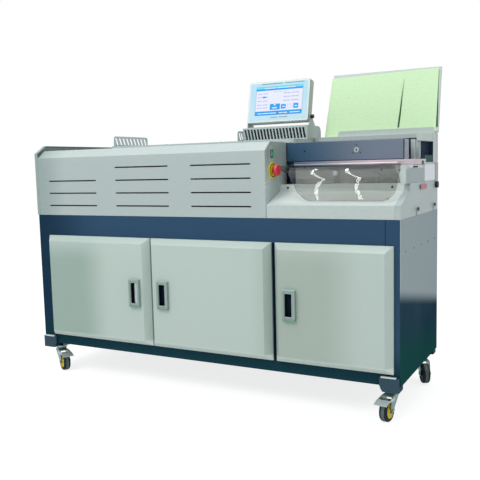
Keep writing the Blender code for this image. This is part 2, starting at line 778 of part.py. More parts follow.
def cabinet_frame(bench):
    """Frame with a doorway and a room behind each door, sheet floor and top, and four foot blocks."""
    rear = CABINET_DEPTH - SIDE_PANEL - GAP
    frame = bench.box(
        (FRAME_LEFT, 0.0, CABINET_BOTTOM), (FRAME_RIGHT, rear, CABINET_TOP), "cabinet_frame", "blue"
    )
    low, high = DOOR_BOTTOM + FRAME_LIP, DOOR_TOP - FRAME_LIP
    floor_top = low - GAP
    spans = door_spans()
    walls = [FRAME_LEFT + SHEET]
    walls.extend((before[1] + after[0]) / 2 for before, after in zip(spans, spans[1:]))
    walls.append(FRAME_RIGHT - SHEET)
    half_wall = PARTITION / 2
    inner_rear = rear - FRAME_TUBE
    for index, (start, end) in enumerate(spans):
        doorway = bench.box((start + FRAME_LIP, -OVERRUN, low), (end - FRAME_LIP, rear + OVERRUN, high))
        room_left, room_right = walls[index] + half_wall, walls[index + 1] - half_wall
        room_top = CABINET_TOP - PLATE
        room = bench.box((room_left, FRAME_TUBE, floor_top), (room_right, inner_rear, room_top))
        bench.cut(frame, doorway, room)
    bench.cut(
        frame,
        bench.box(
            (FRAME_LEFT + FRAME_TUBE, FRAME_TUBE, CABINET_BOTTOM - OVERRUN),
            (FRAME_RIGHT - FRAME_TUBE, inner_rear, floor_top - PLATE),
        ),
    )
    for outer_x, inner_x in ((FRAME_LEFT, FRAME_LEFT + FOOT_WIDTH), (FRAME_RIGHT, FRAME_RIGHT - FOOT_WIDTH)):
        bench.join(frame, foot_block(bench, outer_x, inner_x, -FOOT_PROUD, FRAME_TUBE - GAP))
        bench.join(frame, foot_block(bench, outer_x, inner_x, inner_rear + GAP, rear))
    return frame


def cabinet_panels(bench):
    """Two side panels with a row of screw holes, and the vented back panel."""
    rear = CABINET_DEPTH
    outline = rectangle(0.0, CABINET_BOTTOM, rear, CABINET_TOP)
    holes = []
    for index in range(PANEL_SCREWS):
        place = FRAME_TUBE / 2 + index * (rear - FRAME_TUBE) / (PANEL_SCREWS - 1)
        holes.append(circle((place, CABINET_TOP - PANEL_SCREW_DROP), PANEL_SCREW_HOLE, 8))
    bench.prism([outline, *holes], "X", 0.0, SIDE_PANEL, "left_side_panel", "blue")
    right = CABINET_LENGTH - SIDE_PANEL
    bench.prism([outline, *holes], "X", right, CABINET_LENGTH, "right_side_panel", "blue")
    back = rectangle(FRAME_LEFT + GAP, CABINET_BOTTOM, FRAME_RIGHT - GAP, CABINET_TOP)
    vents = []
    for start, end in door_spans():
        left = (start + end - BACK_VENT_LENGTH) / 2
        for row in range(BACK_VENTS):
            vents.append(slot(left, HANDLE_MIDDLE + row * BACK_VENT_PITCH, BACK_VENT_LENGTH, BACK_VENT_WIDTH))
    bench.prism([back, *vents], "Y", rear - SIDE_PANEL, rear - GAP, "cabinet_back_panel", "blue")


def pan_door(bench, name, start, end, handle_x, hinge_x):
    """Door pressed as a pan: short side wall, wide sloping edge and a hollow back."""
    mesh = bpy.data.meshes.new(name)
    shape = bmesh.new()
    bmesh.ops.create_cube(shape, size=1.0)
    bmesh.ops.scale(shape, vec=(end - start, DOOR_WALL, DOOR_TOP - DOOR_BOTTOM), verts=shape.verts)
    middle = ((start + end) / 2, -GAP - DOOR_WALL / 2, (DOOR_BOTTOM + DOOR_TOP) / 2)
    bmesh.ops.translate(shape, vec=middle, verts=shape.verts)
    shape.normal_update()
    front = [face for face in shape.faces if face.normal.y < -FACING_SHARE]
    back = [face for face in shape.faces if face.normal.y > FACING_SHARE]
    bmesh.ops.inset_region(shape, faces=front, thickness=DOOR_BEVEL_WIDTH, depth=DOOR_BEVEL_DEPTH)
    bmesh.ops.inset_region(shape, faces=back, thickness=DOOR_RETURN, depth=0.0)
    bmesh.ops.inset_region(shape, faces=back, thickness=SHEET, depth=SHEET - DOOR_WALL)
    slope = DOOR_BEVEL_WIDTH - DOOR_RETURN + SHEET
    bmesh.ops.inset_region(shape, faces=back, thickness=slope, depth=-DOOR_BEVEL_DEPTH)
    shape.to_mesh(mesh)
    shape.free()
    door = bench.add(name, mesh, "door", None)
    half_width = HANDLE_WIDTH / 2 - HANDLE_RIM + HANDLE_CUP_WALL + HANDLE_SIDE_CLEAR
    half_height = HANDLE_HEIGHT / 2 - HANDLE_RIM + HANDLE_CUP_WALL + HANDLE_SIDE_CLEAR
    bench.cut(
        door,
        bench.box(
            (handle_x - half_width, -DOOR_DEPTH - OVERRUN, HANDLE_MIDDLE - half_height),
            (handle_x + half_width, -DOOR_BEVEL_DEPTH, HANDLE_MIDDLE + half_height),
        ),
    )
    set_origin(door, (hinge_x, -DOOR_WALL, (DOOR_BOTTOM + DOOR_TOP) / 2))
    return door


def door_handle(bench, name, handle_x, door):
    """Recessed pull: a bevelled rim on the door's face with a cup through the door."""
    face = -DOOR_DEPTH - 2 * GAP
    half_width, half_height = HANDLE_WIDTH / 2, HANDLE_HEIGHT / 2
    rim = rounded(
        handle_x - half_width,
        HANDLE_MIDDLE - half_height,
        handle_x + half_width,
        HANDLE_MIDDLE + half_height,
        (HANDLE_BEVEL,) * 4,
    )
    handle = bench.prism([rim], "Y", face - HANDLE_PROUD, face, name, "chrome")
    bevel(handle, HANDLE_BEVEL, 1)
    cup_end = face + HANDLE_CUP_DEPTH - HANDLE_PROUD
    half_width -= HANDLE_RIM
    half_height -= HANDLE_RIM
    wall = HANDLE_CUP_WALL
    bench.join(
        handle,
        bench.box(
            (handle_x - half_width - wall, face - HANDLE_PROUD / 2, HANDLE_MIDDLE - half_height - wall),
            (handle_x + half_width + wall, cup_end, HANDLE_MIDDLE + half_height + wall),
        ),
    )
    bench.cut(
        handle,
        bench.box(
            (handle_x - half_width, face - HANDLE_PROUD - OVERRUN, HANDLE_MIDDLE - half_height),
            (
                handle_x + half_width,
                cup_end - wall,
                HANDLE_MIDDLE + half_height,
            ),
        ),
    )
    handle.parent = door
    handle.location = -door.location
    return handle


def doors(bench):
    """Three doors: the left one hinged on its left edge, the others on their right edges."""
    left = LEFT_DOOR_START - DOOR_HINGE_OFFSET
    middle = MIDDLE_DOOR_END + DOOR_HINGE_OFFSET
    right = RIGHT_DOOR_END + DOOR_HINGE_OFFSET
    places = (
        ("left_door", LEFT_DOOR_START, LEFT_DOOR_END, LEFT_DOOR_END - LEFT_HANDLE_INSET, left),
        ("middle_door", MIDDLE_DOOR_START, MIDDLE_DOOR_END, MIDDLE_DOOR_START + MIDDLE_HANDLE_INSET, middle),
        ("right_door", RIGHT_DOOR_START, RIGHT_DOOR_END, RIGHT_DOOR_START + RIGHT_HANDLE_INSET, right),
    )
    for name, start, end, handle_x, hinge_x in places:
        door = pan_door(bench, name, start, end, handle_x, hinge_x)
        door_handle(bench, name + "_handle", handle_x, door)


def caster_plate(bench, name, x, y):
    """Mounting plate with the upper race of the swivel."""
    top = CASTER_HEIGHT - GAP
    bottom = top - CASTER_PLATE_THICKNESS
    half = CASTER_PLATE / 2
    square = rounded(x - half, y - half, x + half, y + half, (CASTER_PLATE_CORNER,) * 4)
    plate = bench.prism([square], "Z", bottom, top, name, "zinc")
    race_bottom = bottom - CASTER_RACE_HEIGHT
    race = [
        (0.0, bottom + CASTER_PLATE_THICKNESS / 2),
        (CASTER_RACE * RACE_STEP_SHARE, bottom + CASTER_PLATE_THICKNESS / 2),
        (CASTER_RACE, race_bottom + CASTER_RACE_HEIGHT / 2),
        (CASTER_RACE, race_bottom),
        (0.0, race_bottom),
    ]
    bench.join(plate, bench.turned(race, "Z", (x, y, 0.0), steps=SMALL_ROUND))
    bench.cut(plate, bench.rod(KING_PIN + GAP, "Z", (x, y, 0.0), race_bottom - OVERRUN, top + OVERRUN))
    return plate


def caster_fork(bench, name, swivel, brake):
    """Swivelling fork with its crown, king pin, two legs and axle, in the swivel's own space."""
    race_bottom = CASTER_HEIGHT - GAP - CASTER_PLATE_THICKNESS - CASTER_RACE_HEIGHT
    crown_top = race_bottom - GAP
    pin_top = CASTER_HEIGHT - 2 * GAP
    bridge_bottom = crown_top - FORK_CROWN_DROP - FORK_SHEET + GAP
    leg_inner = WHEEL_WIDTH / 2 + FORK_SIDE_CLEAR
    leg_outer = leg_inner + FORK_SHEET
    axle_z = WHEEL_RADIUS
    bridge = rectangle(-FORK_HALF_LENGTH, -leg_outer, CASTER_TRAIL, leg_outer)
    fork = bench.prism([bridge], "Z", bridge_bottom, bridge_bottom + FORK_SHEET, name, "zinc", swivel)
    outline = arc((CASTER_TRAIL, axle_z), FORK_FOOT, math.pi, math.tau, 2 * CORNER)
    outline.append(Vector((CASTER_TRAIL, bridge_bottom + FORK_SHEET)))
    outline.append(Vector((-FORK_HALF_LENGTH, bridge_bottom + FORK_SHEET)))
    outline.append(Vector((-FORK_HALF_LENGTH, bridge_bottom - FORK_SHEET)))
    for low, high in ((-leg_outer, -leg_inner), (leg_inner, leg_outer)):
        bench.join(fork, bench.prism([outline], "Y", low, high, parent=swivel))
    crown = [
        (0.0, crown_top),
        (CASTER_RACE, crown_top),
        (CASTER_RACE, crown_top - CASTER_RACE_HEIGHT / 2),
        (CASTER_RACE * RACE_STEP_SHARE, bridge_bottom + FORK_SHEET / 2),
        (0.0, bridge_bottom + FORK_SHEET / 2),
    ]
    bench.join(fork, bench.turned(crown, "Z", (0, 0, 0), parent=swivel, steps=SMALL_ROUND))
    bench.join(
        fork,
        bench.rod(KING_PIN, "Z", (0, 0, 0), crown_top - GAP, pin_top, parent=swivel, steps=12),
    )
    axle_end = leg_outer + AXLE_HEAD_HEIGHT
    axle = [
        (0.0, axle_end),
        (AXLE_HEAD, axle_end),
        (AXLE_HEAD, leg_outer - GAP),
        (AXLE_RADIUS, leg_outer - GAP),
        (AXLE_RADIUS, GAP - leg_outer),
        (AXLE_HEAD, GAP - leg_outer),
        (AXLE_HEAD, -axle_end),
        (0.0, -axle_end),
    ]
    bench.join(fork, bench.turned(axle, "Y", (CASTER_TRAIL, 0, axle_z), parent=swivel, steps=12))
    if brake:
        place = (PEDAL_PIVOT_REACH, 0, PEDAL_PIVOT_HEIGHT)
        reach = leg_outer + OVERRUN
        bench.cut(fork, bench.rod(PEDAL_PIN + GAP, "Y", place, -reach, reach, parent=swivel, steps=12))
    return fork


def caster_wheel(bench, name, swivel):
    """Wheel with a rounded tread, recessed hub and a boss that nearly fills the fork."""
    half = WHEEL_WIDTH / 2
    boss_half = half + FORK_SIDE_CLEAR - GAP
    bore = AXLE_RADIUS + GAP
    side = [
        (bore, boss_half),
        (WHEEL_BOSS, boss_half),
        (WHEEL_BOSS, half - WHEEL_HUB_RECESS),
        (WHEEL_HUB, half - WHEEL_HUB_RECESS),
        (WHEEL_HUB, half),
        (WHEEL_RADIUS - WHEEL_SHOULDER, half),
        (WHEEL_RADIUS, half - WHEEL_SHOULDER),
    ]
    profile = side + [(radius, -height) for radius, height in reversed(side)]
    wheel = bench.turned(profile, "Y", (CASTER_TRAIL, 0, WHEEL_RADIUS), name, "tyre", swivel, ROUND)
    return wheel


def brake_pedal(bench, name, swivel):
    """Foot lever that straddles the fork and turns on two pins in its legs."""
    arm_inner = WHEEL_WIDTH / 2 + FORK_SIDE_CLEAR + FORK_SHEET + GAP
    arm_outer = arm_inner + PEDAL_SHEET
    pad_end_z = PEDAL_PAD_TOP - PEDAL_PAD_DROP
    slope = [Vector((PEDAL_PAD_END, pad_end_z)), Vector((PEDAL_PAD_START, PEDAL_PAD_TOP))]
    pedal = bench.prism([band(slope, PEDAL_SHEET)], "Y", -arm_outer, arm_outer, name, "zinc", swivel)
    pivot = (PEDAL_PIVOT_REACH, PEDAL_PIVOT_HEIGHT)
    arm = arc(pivot, PEDAL_ARM, math.pi / 2, 3 * math.pi / 2, 2 * CORNER)
    arm.append(Vector((PEDAL_PAD_START + PEDAL_ARM, PEDAL_PAD_TOP - PEDAL_ARM)))
    arm.append(Vector((PEDAL_PAD_START + PEDAL_SHEET, PEDAL_PAD_TOP - PEDAL_SHEET)))
    pin_start = arm_inner - FORK_SHEET - GAP
    for side in (-1, 1):
        low, high = sorted((side * arm_inner, side * arm_outer))
        bench.join(pedal, bench.prism([arm], "Y", low, high, parent=swivel))
        low, high = sorted((side * pin_start, side * (arm_outer - GAP)))
        place = (PEDAL_PIVOT_REACH, 0, PEDAL_PIVOT_HEIGHT)
        bench.join(pedal, bench.rod(PEDAL_PIN, "Y", place, low, high, parent=swivel, steps=12))
    set_origin(pedal, (PEDAL_PIVOT_REACH, 0.0, PEDAL_PIVOT_HEIGHT))
    return pedal


def casters(bench):
    """Four swivel casters; the front two have brake pedals."""
    right = CABINET_LENGTH - CASTER_INSET
    rear = CABINET_DEPTH - CASTER_INSET
    places = (
        ("front_left", CASTER_INSET, CASTER_INSET, FRONT_LEFT_TRAIL, True),
        ("front_right", right, CASTER_INSET, FRONT_RIGHT_TRAIL, True),
        ("rear_left", CASTER_INSET, rear, REAR_LEFT_TRAIL, False),
        ("rear_right", right, rear, REAR_RIGHT_TRAIL, False),
    )
    for name, x, y, trail, brake in places:
        caster_plate(bench, name + "_caster_plate", x, y)
        swivel = bench.empty(name + "_swivel", (x, y, 0.0), bench.root, (0.0, 0.0, trail))
        caster_fork(bench, name + "_caster_fork", swivel, brake)
        caster_wheel(bench, name + "_caster_wheel", swivel)
        if brake:
            brake_pedal(bench, name + "_brake_pedal", swivel)


def cover_path():
    """Outer line of the housing cover in YZ, from its front foot to its rear edge."""
    rear = COVER_HINGE_Y - COVER_HINGE_RADIUS - GAP
    points = ((0.0, SEAT_Z), (0.0, COVER_SHOULDER), (COVER_CHAMFER, COVER_TOP), (rear, COVER_TOP))
    return [Vector(point) for point in points]


def hinged_cover(bench):
    """Sheet cover with eleven long slots and a return at its left end."""
    path = cover_path()
    deep = SHEET + COVER_RETURN
    cover = bench.prism([band(path, -deep)], "X", COVER_LEFT, COVER_RIGHT, "hinged_cover", "light")
    inside = moved_sideways(path, -SHEET)
    inside[0] = inside[0] - Vector((0.0, OVERRUN))
    inside[-1] = inside[-1] + Vector((OVERRUN, 0.0))
    hollow = bench.prism([band(inside, -2 * COVER_RETURN)], "X", COVER_LEFT + SHEET, COVER_RIGHT + OVERRUN)
    bench.cut(cover, hollow)
    loops = []
    for column, left in enumerate(SLOT_COLUMNS):
        rows = SLOT_ROWS if column else SLOT_ROWS[:-1]
        loops.extend(slot(left, height, SLOT_LENGTH, SLOT_WIDTH) for height in rows)
    bench.cut(cover, bench.prism(loops, "Y", -OVERRUN, SHEET + OVERRUN))
    set_origin(cover, (COVER_LEFT, COVER_HINGE_Y, COVER_TOP + COVER_HINGE_RISE))


def left_end_plate(bench):
    """Pan that closes the housing's left end and stands above its flat deck."""
    outline = [
        Vector((0.0, SEAT_Z)),
        Vector((REAR_WALL_Y, SEAT_Z)),
        Vector((REAR_WALL_Y, END_PLATE_TOP)),
        Vector((END_PLATE_CHAMFER, END_PLATE_TOP)),
        Vector((0.0, END_PLATE_SHOULDER)),
    ]
    inner = END_PLATE_FLANGE - END_PLATE_PROUD
    plate = bench.prism([outline], "X", -END_PLATE_PROUD, inner, "left_end_plate", "shade")
    hollow = moved_sideways(outline, PLATE, closed=True)
    bench.cut(plate, bench.prism([hollow], "X", PLATE - END_PLATE_PROUD, inner + OVERRUN))


def control_plate(bench):
    """Plate at the housing's right end, with holes for the switch and the emergency stop."""
    foot = BED_TOP + GAP
    outline = [
        Vector((PLATE, SEAT_Z)),
        Vector((BED_FRONT - GAP, SEAT_Z)),
        Vector((BED_FRONT - GAP, foot)),
        Vector((CONTROL_PLATE_REAR, foot)),
        Vector((CONTROL_PLATE_REAR, COVER_TOP)),
        Vector((COVER_CHAMFER + PLATE, COVER_TOP)),
        Vector((PLATE, COVER_SHOULDER)),
    ]
    stem = circle((CONTROL_Y, EMERGENCY_Z), EMERGENCY_STEM + GAP)
    half_width, half_height = SWITCH_WIDTH / 2 + GAP, SWITCH_HEIGHT / 2 + RUNNING_GAP
    window = rectangle(
        CONTROL_Y - half_width, SWITCH_Z - half_height, CONTROL_Y + half_width, SWITCH_Z + half_height
    )
    right = HOUSING_RIGHT + PLATE
    bench.prism([outline, stem, window], "X", HOUSING_RIGHT, right, "control_plate", "light")


def machine_bed(bench):
    """Bed plate with the bulkhead beside the station and the cutter's spindle housing."""
    rear = REAR_WALL_Y - SHEET - RUNNING_GAP
    right = SIDE_PLATE_X - RUNNING_GAP
    bed = bench.box((BED_INSET, BED_FRONT, SEAT_Z), (right, rear, BED_TOP), "machine_bed", "blue")
    wall_right = HOUSING_RIGHT - COVER_RETURN / 3
    bench.join(
        bed,
        bench.box(
            (wall_right - BULKHEAD_THICKNESS, FRONT_JAW_Y, BED_TOP - BED_THICKNESS / 2),
            (wall_right, BULKHEAD_REAR, BULKHEAD_TOP),
        ),
    )
    housing = [
        (0.0, SPINDLE_HOUSING_TOP),
        (SPINDLE_HOUSING_RADIUS, SPINDLE_HOUSING_TOP),
        (SPINDLE_HOUSING_RADIUS, BED_TOP - BED_THICKNESS / 2),
        (0.0, BED_TOP - BED_THICKNESS / 2),
    ]
    bench.join(bed, bench.turned(housing, "Z", (CUTTER_X, CUTTER_Y, 0.0)))
    spindle = (CUTTER_X, CUTTER_Y, 0.0)
    depth = SPINDLE_HOUSING_TOP - SPINDLE_LENGTH - RUNNING_GAP
    bore = bench.rod(SPINDLE_RADIUS + GAP, "Z", spindle, depth, SPINDLE_HOUSING_TOP + OVERRUN)
    bench.cut(bed, bore)


def top_deck(bench):
    """Deck behind the hinged cover: flat at the left, raised for most of its length."""
    right = COVER_RIGHT
    path = [
        Vector((COVER_LEFT, COVER_TOP)),
        Vector((DECK_STEP_X, COVER_TOP)),
        Vector((DECK_STEP_X, DECK_TOP)),
        Vector((right, DECK_TOP)),
    ]
    deck = bench.prism([band(path, -SHEET)], "Y", DECK_FRONT, REAR_WALL_Y, "top_deck", "light")
    for front in (DECK_FRONT, REAR_WALL_Y - SHEET):
        bench.join(deck, bench.box((DECK_STEP_X, front, DECK_UNDER), (right, front + SHEET, DECK_TOP - GAP)))
    cap_low = (right - SHEET, DECK_FRONT + GAP, DECK_UNDER + GAP)
    bench.join(deck, bench.box(cap_low, (right - GAP, REAR_WALL_Y - GAP, DECK_TOP - GAP)))
    hinge_z = COVER_TOP + COVER_HINGE_RISE
    start, end = DECK_STEP_X + COVER_RETURN, right - COVER_RETURN
    place = (0.0, COVER_HINGE_Y, hinge_z)
    bench.join(
        deck,
        bench.box((start, COVER_HINGE_Y, DECK_UNDER + GAP), (end, DECK_FRONT + SHEET / 2, hinge_z + GAP)),
        bench.rod(COVER_HINGE_RADIUS, "X", place, start - GAP, end + GAP),
    )


def louvre(bench, name, left, front, length):
    """Upright guard with leaning slots and rounded top corners, on a narrow foot."""
    bottom = DECK_TOP + GAP
    top = bottom + LOUVRE_HEIGHT
    outline = rounded(front, bottom, front + length, top, (0, 0, LOUVRE_CORNER, LOUVRE_CORNER))
    margin = LOUVRE_SLOT_MARGIN
    first, last = front + margin + LOUVRE_CORNER, front + length - margin - LOUVRE_CORNER
    loops = []
    for index in range(LOUVRE_SLOTS):
        middle = first + (last - first) * index / (LOUVRE_SLOTS - 1)
        loops.append(leaning_slot(middle, bottom + margin, top - margin, LOUVRE_SLOT_WIDTH, LOUVRE_LEAN))
    guard = bench.prism([outline], "X", left, left + PLATE, name, "shade")
    foot_low = (left - LOUVRE_FOOT, front + GAP, bottom + GAP)
    foot_high = (left + PLATE / 2, front + length - GAP, bottom + PLATE)
    bench.join(guard, bench.box(foot_low, foot_high))
    bench.cut(guard, bench.prism(loops, "X", left - OVERRUN, left + PLATE + OVERRUN))


def vent_hood(bench):
    """Hood over the heater exhaust, open below, with leaning slots across its front."""
    bottom = DECK_TOP + GAP
    right = COVER_RIGHT
    outline = rounded(HOOD_FRONT, bottom, REAR_WALL_Y, HOOD_TOP, (0, 0, HOOD_CORNER, SHEET))
    hood = bench.prism([outline], "X", HOOD_LEFT, right, "vent_hood", "shade")
    inner = rounded(
        HOOD_FRONT + SHEET,
        bottom - OVERRUN,
        REAR_WALL_Y - SHEET,
        HOOD_TOP - SHEET,
        (0, 0, HOOD_CORNER - SHEET, 0),
    )
    bench.cut(hood, bench.prism([inner], "X", HOOD_LEFT + SHEET, right - SHEET))
    margin = HOOD_SLOT_MARGIN
    first = HOOD_LEFT + margin + HOOD_LEAN
    last = right - margin - HOOD_LEAN
    loops = []
    for index in range(HOOD_SLOTS):
        middle = first + (last - first) * index / (HOOD_SLOTS - 1)
        loops.append(leaning_slot(middle, bottom + margin, HOOD_TOP - margin, HOOD_SLOT_WIDTH, HOOD_LEAN))
    bench.cut(hood, bench.prism(loops, "Y", HOOD_FRONT - OVERRUN, HOOD_FRONT + SHEET + OVERRUN))


def clamp_knob_outline(radius, lobes):
    """Gently lobed outline of a hand knob round its own centre."""
    points = []
    for step in range(lobes * 6):
        angle = math.tau * step / (lobes * 6)
        reach = radius * (1.0 - LOBE_DEPTH_SHARE * (1.0 - math.cos(lobes * angle)))
        points.append(Vector((reach * math.cos(angle), reach * math.sin(angle))))
    return points


def touch_panel(bench):
    """Tilting screen in a bracket on the hood, held by a rod with a knob at its right end."""
    left = SCREEN_RIGHT - SCREEN_WIDTH
    place = ((left + SCREEN_RIGHT) / 2, SCREEN_AXIS_Y, SCREEN_AXIS_Z)
    tilt = bench.empty("screen_tilt", place, bench.root, (-SCREEN_TILT, 0.0, 0.0))
    half = SCREEN_WIDTH / 2
    front, bottom = -SCREEN_AXIS_FROM_FRONT, -SCREEN_AXIS_FROM_BOTTOM
    face = rounded(-half, bottom, half, bottom + SCREEN_HEIGHT, (SCREEN_CORNER,) * 4)
    case = bench.prism([face], "Y", front, front + SCREEN_DEPTH, "screen_case", "case", tilt)
    bevel(case, SHEET)
    window_left = SCREEN_LCD_LEFT - half
    window_bottom = bottom + SCREEN_LCD_BOTTOM
    window_right, window_top = window_left + SCREEN_LCD_WIDTH, window_bottom + SCREEN_LCD_HEIGHT
    bench.cut(
        case,
        bench.box(
            (window_left, front - OVERRUN, window_bottom),
            (window_right, front + SCREEN_GLASS + GAP, window_top),
            parent=tilt,
        ),
        bench.rod(CLAMP_ROD + CLAMP_ROD_CLEAR, "X", (0, 0, 0), -half - OVERRUN, half + OVERRUN, parent=tilt),
    )
    bench.box(
        (window_left + GAP, front, window_bottom + GAP),
        (window_right - GAP, front + SCREEN_GLASS, window_top - GAP),
        "screen_glass",
        "screen",
        tilt,
    )
    seat = HOOD_TOP + GAP
    ear_inner = half + BRACKET_CLEAR
    ear_outer = ear_inner + BRACKET_SHEET
    middle = place[0]
    base = bench.box(
        (middle - ear_outer, BRACKET_FRONT, seat),
        (middle + ear_outer, BRACKET_REAR, seat + BRACKET_SHEET),
        "screen_bracket",
        "shade",
    )
    ear = arc((SCREEN_AXIS_Y, SCREEN_AXIS_Z), BRACKET_EAR, 0.0, math.pi, 2 * CORNER)
    ear.extend([Vector((BRACKET_FRONT, seat + GAP)), Vector((BRACKET_REAR, seat + GAP))])
    hole = circle((SCREEN_AXIS_Y, SCREEN_AXIS_Z), CLAMP_ROD + GAP)
    for side in (-1, 1):
        low, high = sorted((middle + side * ear_inner, middle + side * ear_outer))
        bench.join(base, bench.prism([ear, hole], "X", low, high))
    knob_start = ear_outer + GAP
    knob_end = knob_start + CLAMP_KNOB_WIDTH
    start, end = -ear_outer - CLAMP_ROD_END, knob_end - GAP
    rod = bench.rod(CLAMP_ROD, "X", (0, 0, 0), start, end, "tilt_clamp_rod", "black", tilt)
    lobes = clamp_knob_outline(CLAMP_KNOB, CLAMP_KNOB_LOBES)
    bench.join(rod, bench.prism([lobes], "X", knob_start, knob_end, parent=tilt))


def controls(bench):
    """Power rocker and emergency stop on the control plate."""
    face = HOUSING_RIGHT + PLATE
    half = SWITCH_HEIGHT / 2
    outline = [
        Vector((-SWITCH_DEPTH, -half + PLATE)),
        Vector((0.0, -half)),
        Vector((SWITCH_PROUD / 2, -half)),
        Vector((SWITCH_PROUD, 0.0)),
        Vector((SWITCH_PROUD / 2, half)),
        Vector((0.0, half)),
        Vector((-SWITCH_DEPTH, half - PLATE)),
    ]
    half_width = SWITCH_WIDTH / 2
    rocker = bench.prism([outline], "Y", -half_width, half_width, "power_switch", "green")
    rocker.location = (face - PLATE / 2, CONTROL_Y, SWITCH_Z)
    place = (0.0, CONTROL_Y, EMERGENCY_Z)
    collar_start = face + GAP
    collar_end = collar_start + EMERGENCY_COLLAR_THICKNESS
    bore = EMERGENCY_STEM + GAP
    ring = [
        (bore, collar_end),
        (EMERGENCY_COLLAR * COLLAR_CROWN_SHARE, collar_end),
        (EMERGENCY_COLLAR, collar_start + PLATE),
        (EMERGENCY_COLLAR, collar_start),
        (bore, collar_start),
    ]
    bench.turned(ring, "X", place, "emergency_collar", "yellow")
    head_end = face + EMERGENCY_PROUD
    head_start = head_end - EMERGENCY_HEAD_HEIGHT
    neck_start = collar_end + EMERGENCY_TRAVEL + GAP
    button = [
        (0.0, head_end),
        (EMERGENCY_HEAD * HEAD_CROWN_SHARE, head_end - PLATE * HEAD_CROWN_DROP_SHARE),
        (EMERGENCY_HEAD * HEAD_EDGE_SHARE, head_end - PLATE * HEAD_EDGE_DROP_SHARE),
        (EMERGENCY_HEAD, head_end - EMERGENCY_HEAD_HEIGHT / 2),
        (EMERGENCY_HEAD * HEAD_EDGE_SHARE, head_start),
        (EMERGENCY_NECK, head_start),
        (EMERGENCY_NECK, neck_start),
        (EMERGENCY_STEM, neck_start),
        (EMERGENCY_STEM, face - EMERGENCY_STEM_LENGTH),
        (0.0, face - EMERGENCY_STEM_LENGTH),
    ]
    bench.turned(button, "X", place, "emergency_button", "red")


def station_deck(bench):
    """Folded deck of the loading station: front face, slope, riser and rear flange."""
    path = [
        Vector((0.0, SEAT_Z)),
        Vector((0.0, DECK_FRONT_TOP)),
        Vector((DECK_SLOPE_REAR, DECK_SLOPE_TOP)),
        Vector((DECK_RISER_Y, DECK_RISER_TOP)),
        Vector((DECK_FLANGE_REAR, DECK_RISER_TOP)),
    ]
    right = SIDE_PLATE_X - GAP
    bench.prism([band(path, -PLATE)], "X", STATION_LEFT, right, "station_deck", "light")


def station_side_plate(bench):
    """Pan that closes the station's right side, hung on two bolts in open keyholes."""
    outline = [
        Vector((0.0, SEAT_Z)),
        Vector((REAR_WALL_Y, SEAT_Z)),
        Vector((REAR_WALL_Y, DECK_RISER_TOP)),
        Vector((DECK_RISER_Y - RUNNING_GAP, DECK_RISER_TOP)),
        Vector((DECK_SLOPE_REAR - OVERRUN, DECK_SLOPE_TOP)),
        Vector((0.0, DECK_FRONT_TOP)),
    ]
    right = CABINET_LENGTH
    plate = bench.prism([outline], "X", SIDE_PLATE_X, right, "station_side_plate", "shade")
    hollow = moved_sideways(outline, SIDE_PLATE_RIM, closed=True)
    bench.cut(plate, bench.prism([hollow], "X", SIDE_PLATE_X - OVERRUN, right - PLATE))
    for middle in KEYHOLE_Y:
        half = KEYHOLE_WIDTH / 2
        corners = (0, 0, half * KEYHOLE_ROUND_SHARE, half * KEYHOLE_ROUND_SHARE)
        hole = rounded(middle - half, SEAT_Z - OVERRUN, middle + half, KEYHOLE_TOP, corners)
        bench.cut(plate, bench.prism([hole], "X", SIDE_PLATE_X - OVERRUN, right + OVERRUN))
        head_z = KEYHOLE_TOP - KEYHOLE_WIDTH / 2
        head = bench.rod(KEYHOLE_HEAD, "X", (0.0, middle, head_z), right - PLATE, right + KEYHOLE_HEAD_HEIGHT)
        bench.join(plate, head)
    place = (0.0, SIDE_KNOB_Y, SIDE_KNOB_Z)
    bench.cut(plate, bench.rod(SIDE_KNOB_STEM + GAP, "X", place, right - 2 * OVERRUN, right + OVERRUN))


def side_clamp_knob(bench):
    """Hand knob low on the right side, on a stem through the side plate."""
    right = CABINET_LENGTH
    stem_end = right - SIDE_KNOB_STEM_LENGTH
    place = (0.0, SIDE_KNOB_Y, SIDE_KNOB_Z)
    stem = bench.rod(SIDE_KNOB_STEM, "X", place, stem_end, right + OVERRUN, "side_clamp_knob", "black")
    lobes = clamp_knob_outline(SIDE_KNOB_RADIUS, CLAMP_KNOB_LOBES)
    knob = bench.prism([lobes], "X", right + GAP, right + SIDE_KNOB_PROUD)
    knob.location = (0.0, SIDE_KNOB_Y, SIDE_KNOB_Z)
    bench.join(stem, knob)


def right_frame_plate(bench):
    """Open frame that carries the table and the rails at the station's right end."""
    bottom = DECK_RISER_TOP + GAP
    outline = [
        Vector((FRAME_FRONT, bottom)),
        Vector((REAR_WALL_Y, bottom)),
        Vector((REAR_WALL_Y, BEAM_TOP)),
        Vector((FRAME_POST_FRONT, BEAM_TOP)),
        Vector((FRAME_POST_FRONT, FRAME_ARM_TOP)),
        Vector((FRAME_ARM_FRONT, FRAME_ARM_TOP)),
        Vector((FRAME_ARM_FRONT, FRAME_ARM_BOTTOM)),
        Vector((FRAME_POST_FRONT, FRAME_ARM_BOTTOM)),
        Vector((FRAME_POST_FRONT, FRAME_BLOCK_TOP)),
        Vector((FRAME_BLOCK_FRONT, FRAME_BLOCK_TOP)),
        Vector((FRAME_BLOCK_FRONT, FRAME_BASE_TOP)),
        Vector((FRAME_FRONT, FRAME_BASE_TOP)),
    ]
    bench.prism([outline], "X", FRAME_PLATE_X, CABINET_LENGTH, "right_frame_plate", "light")


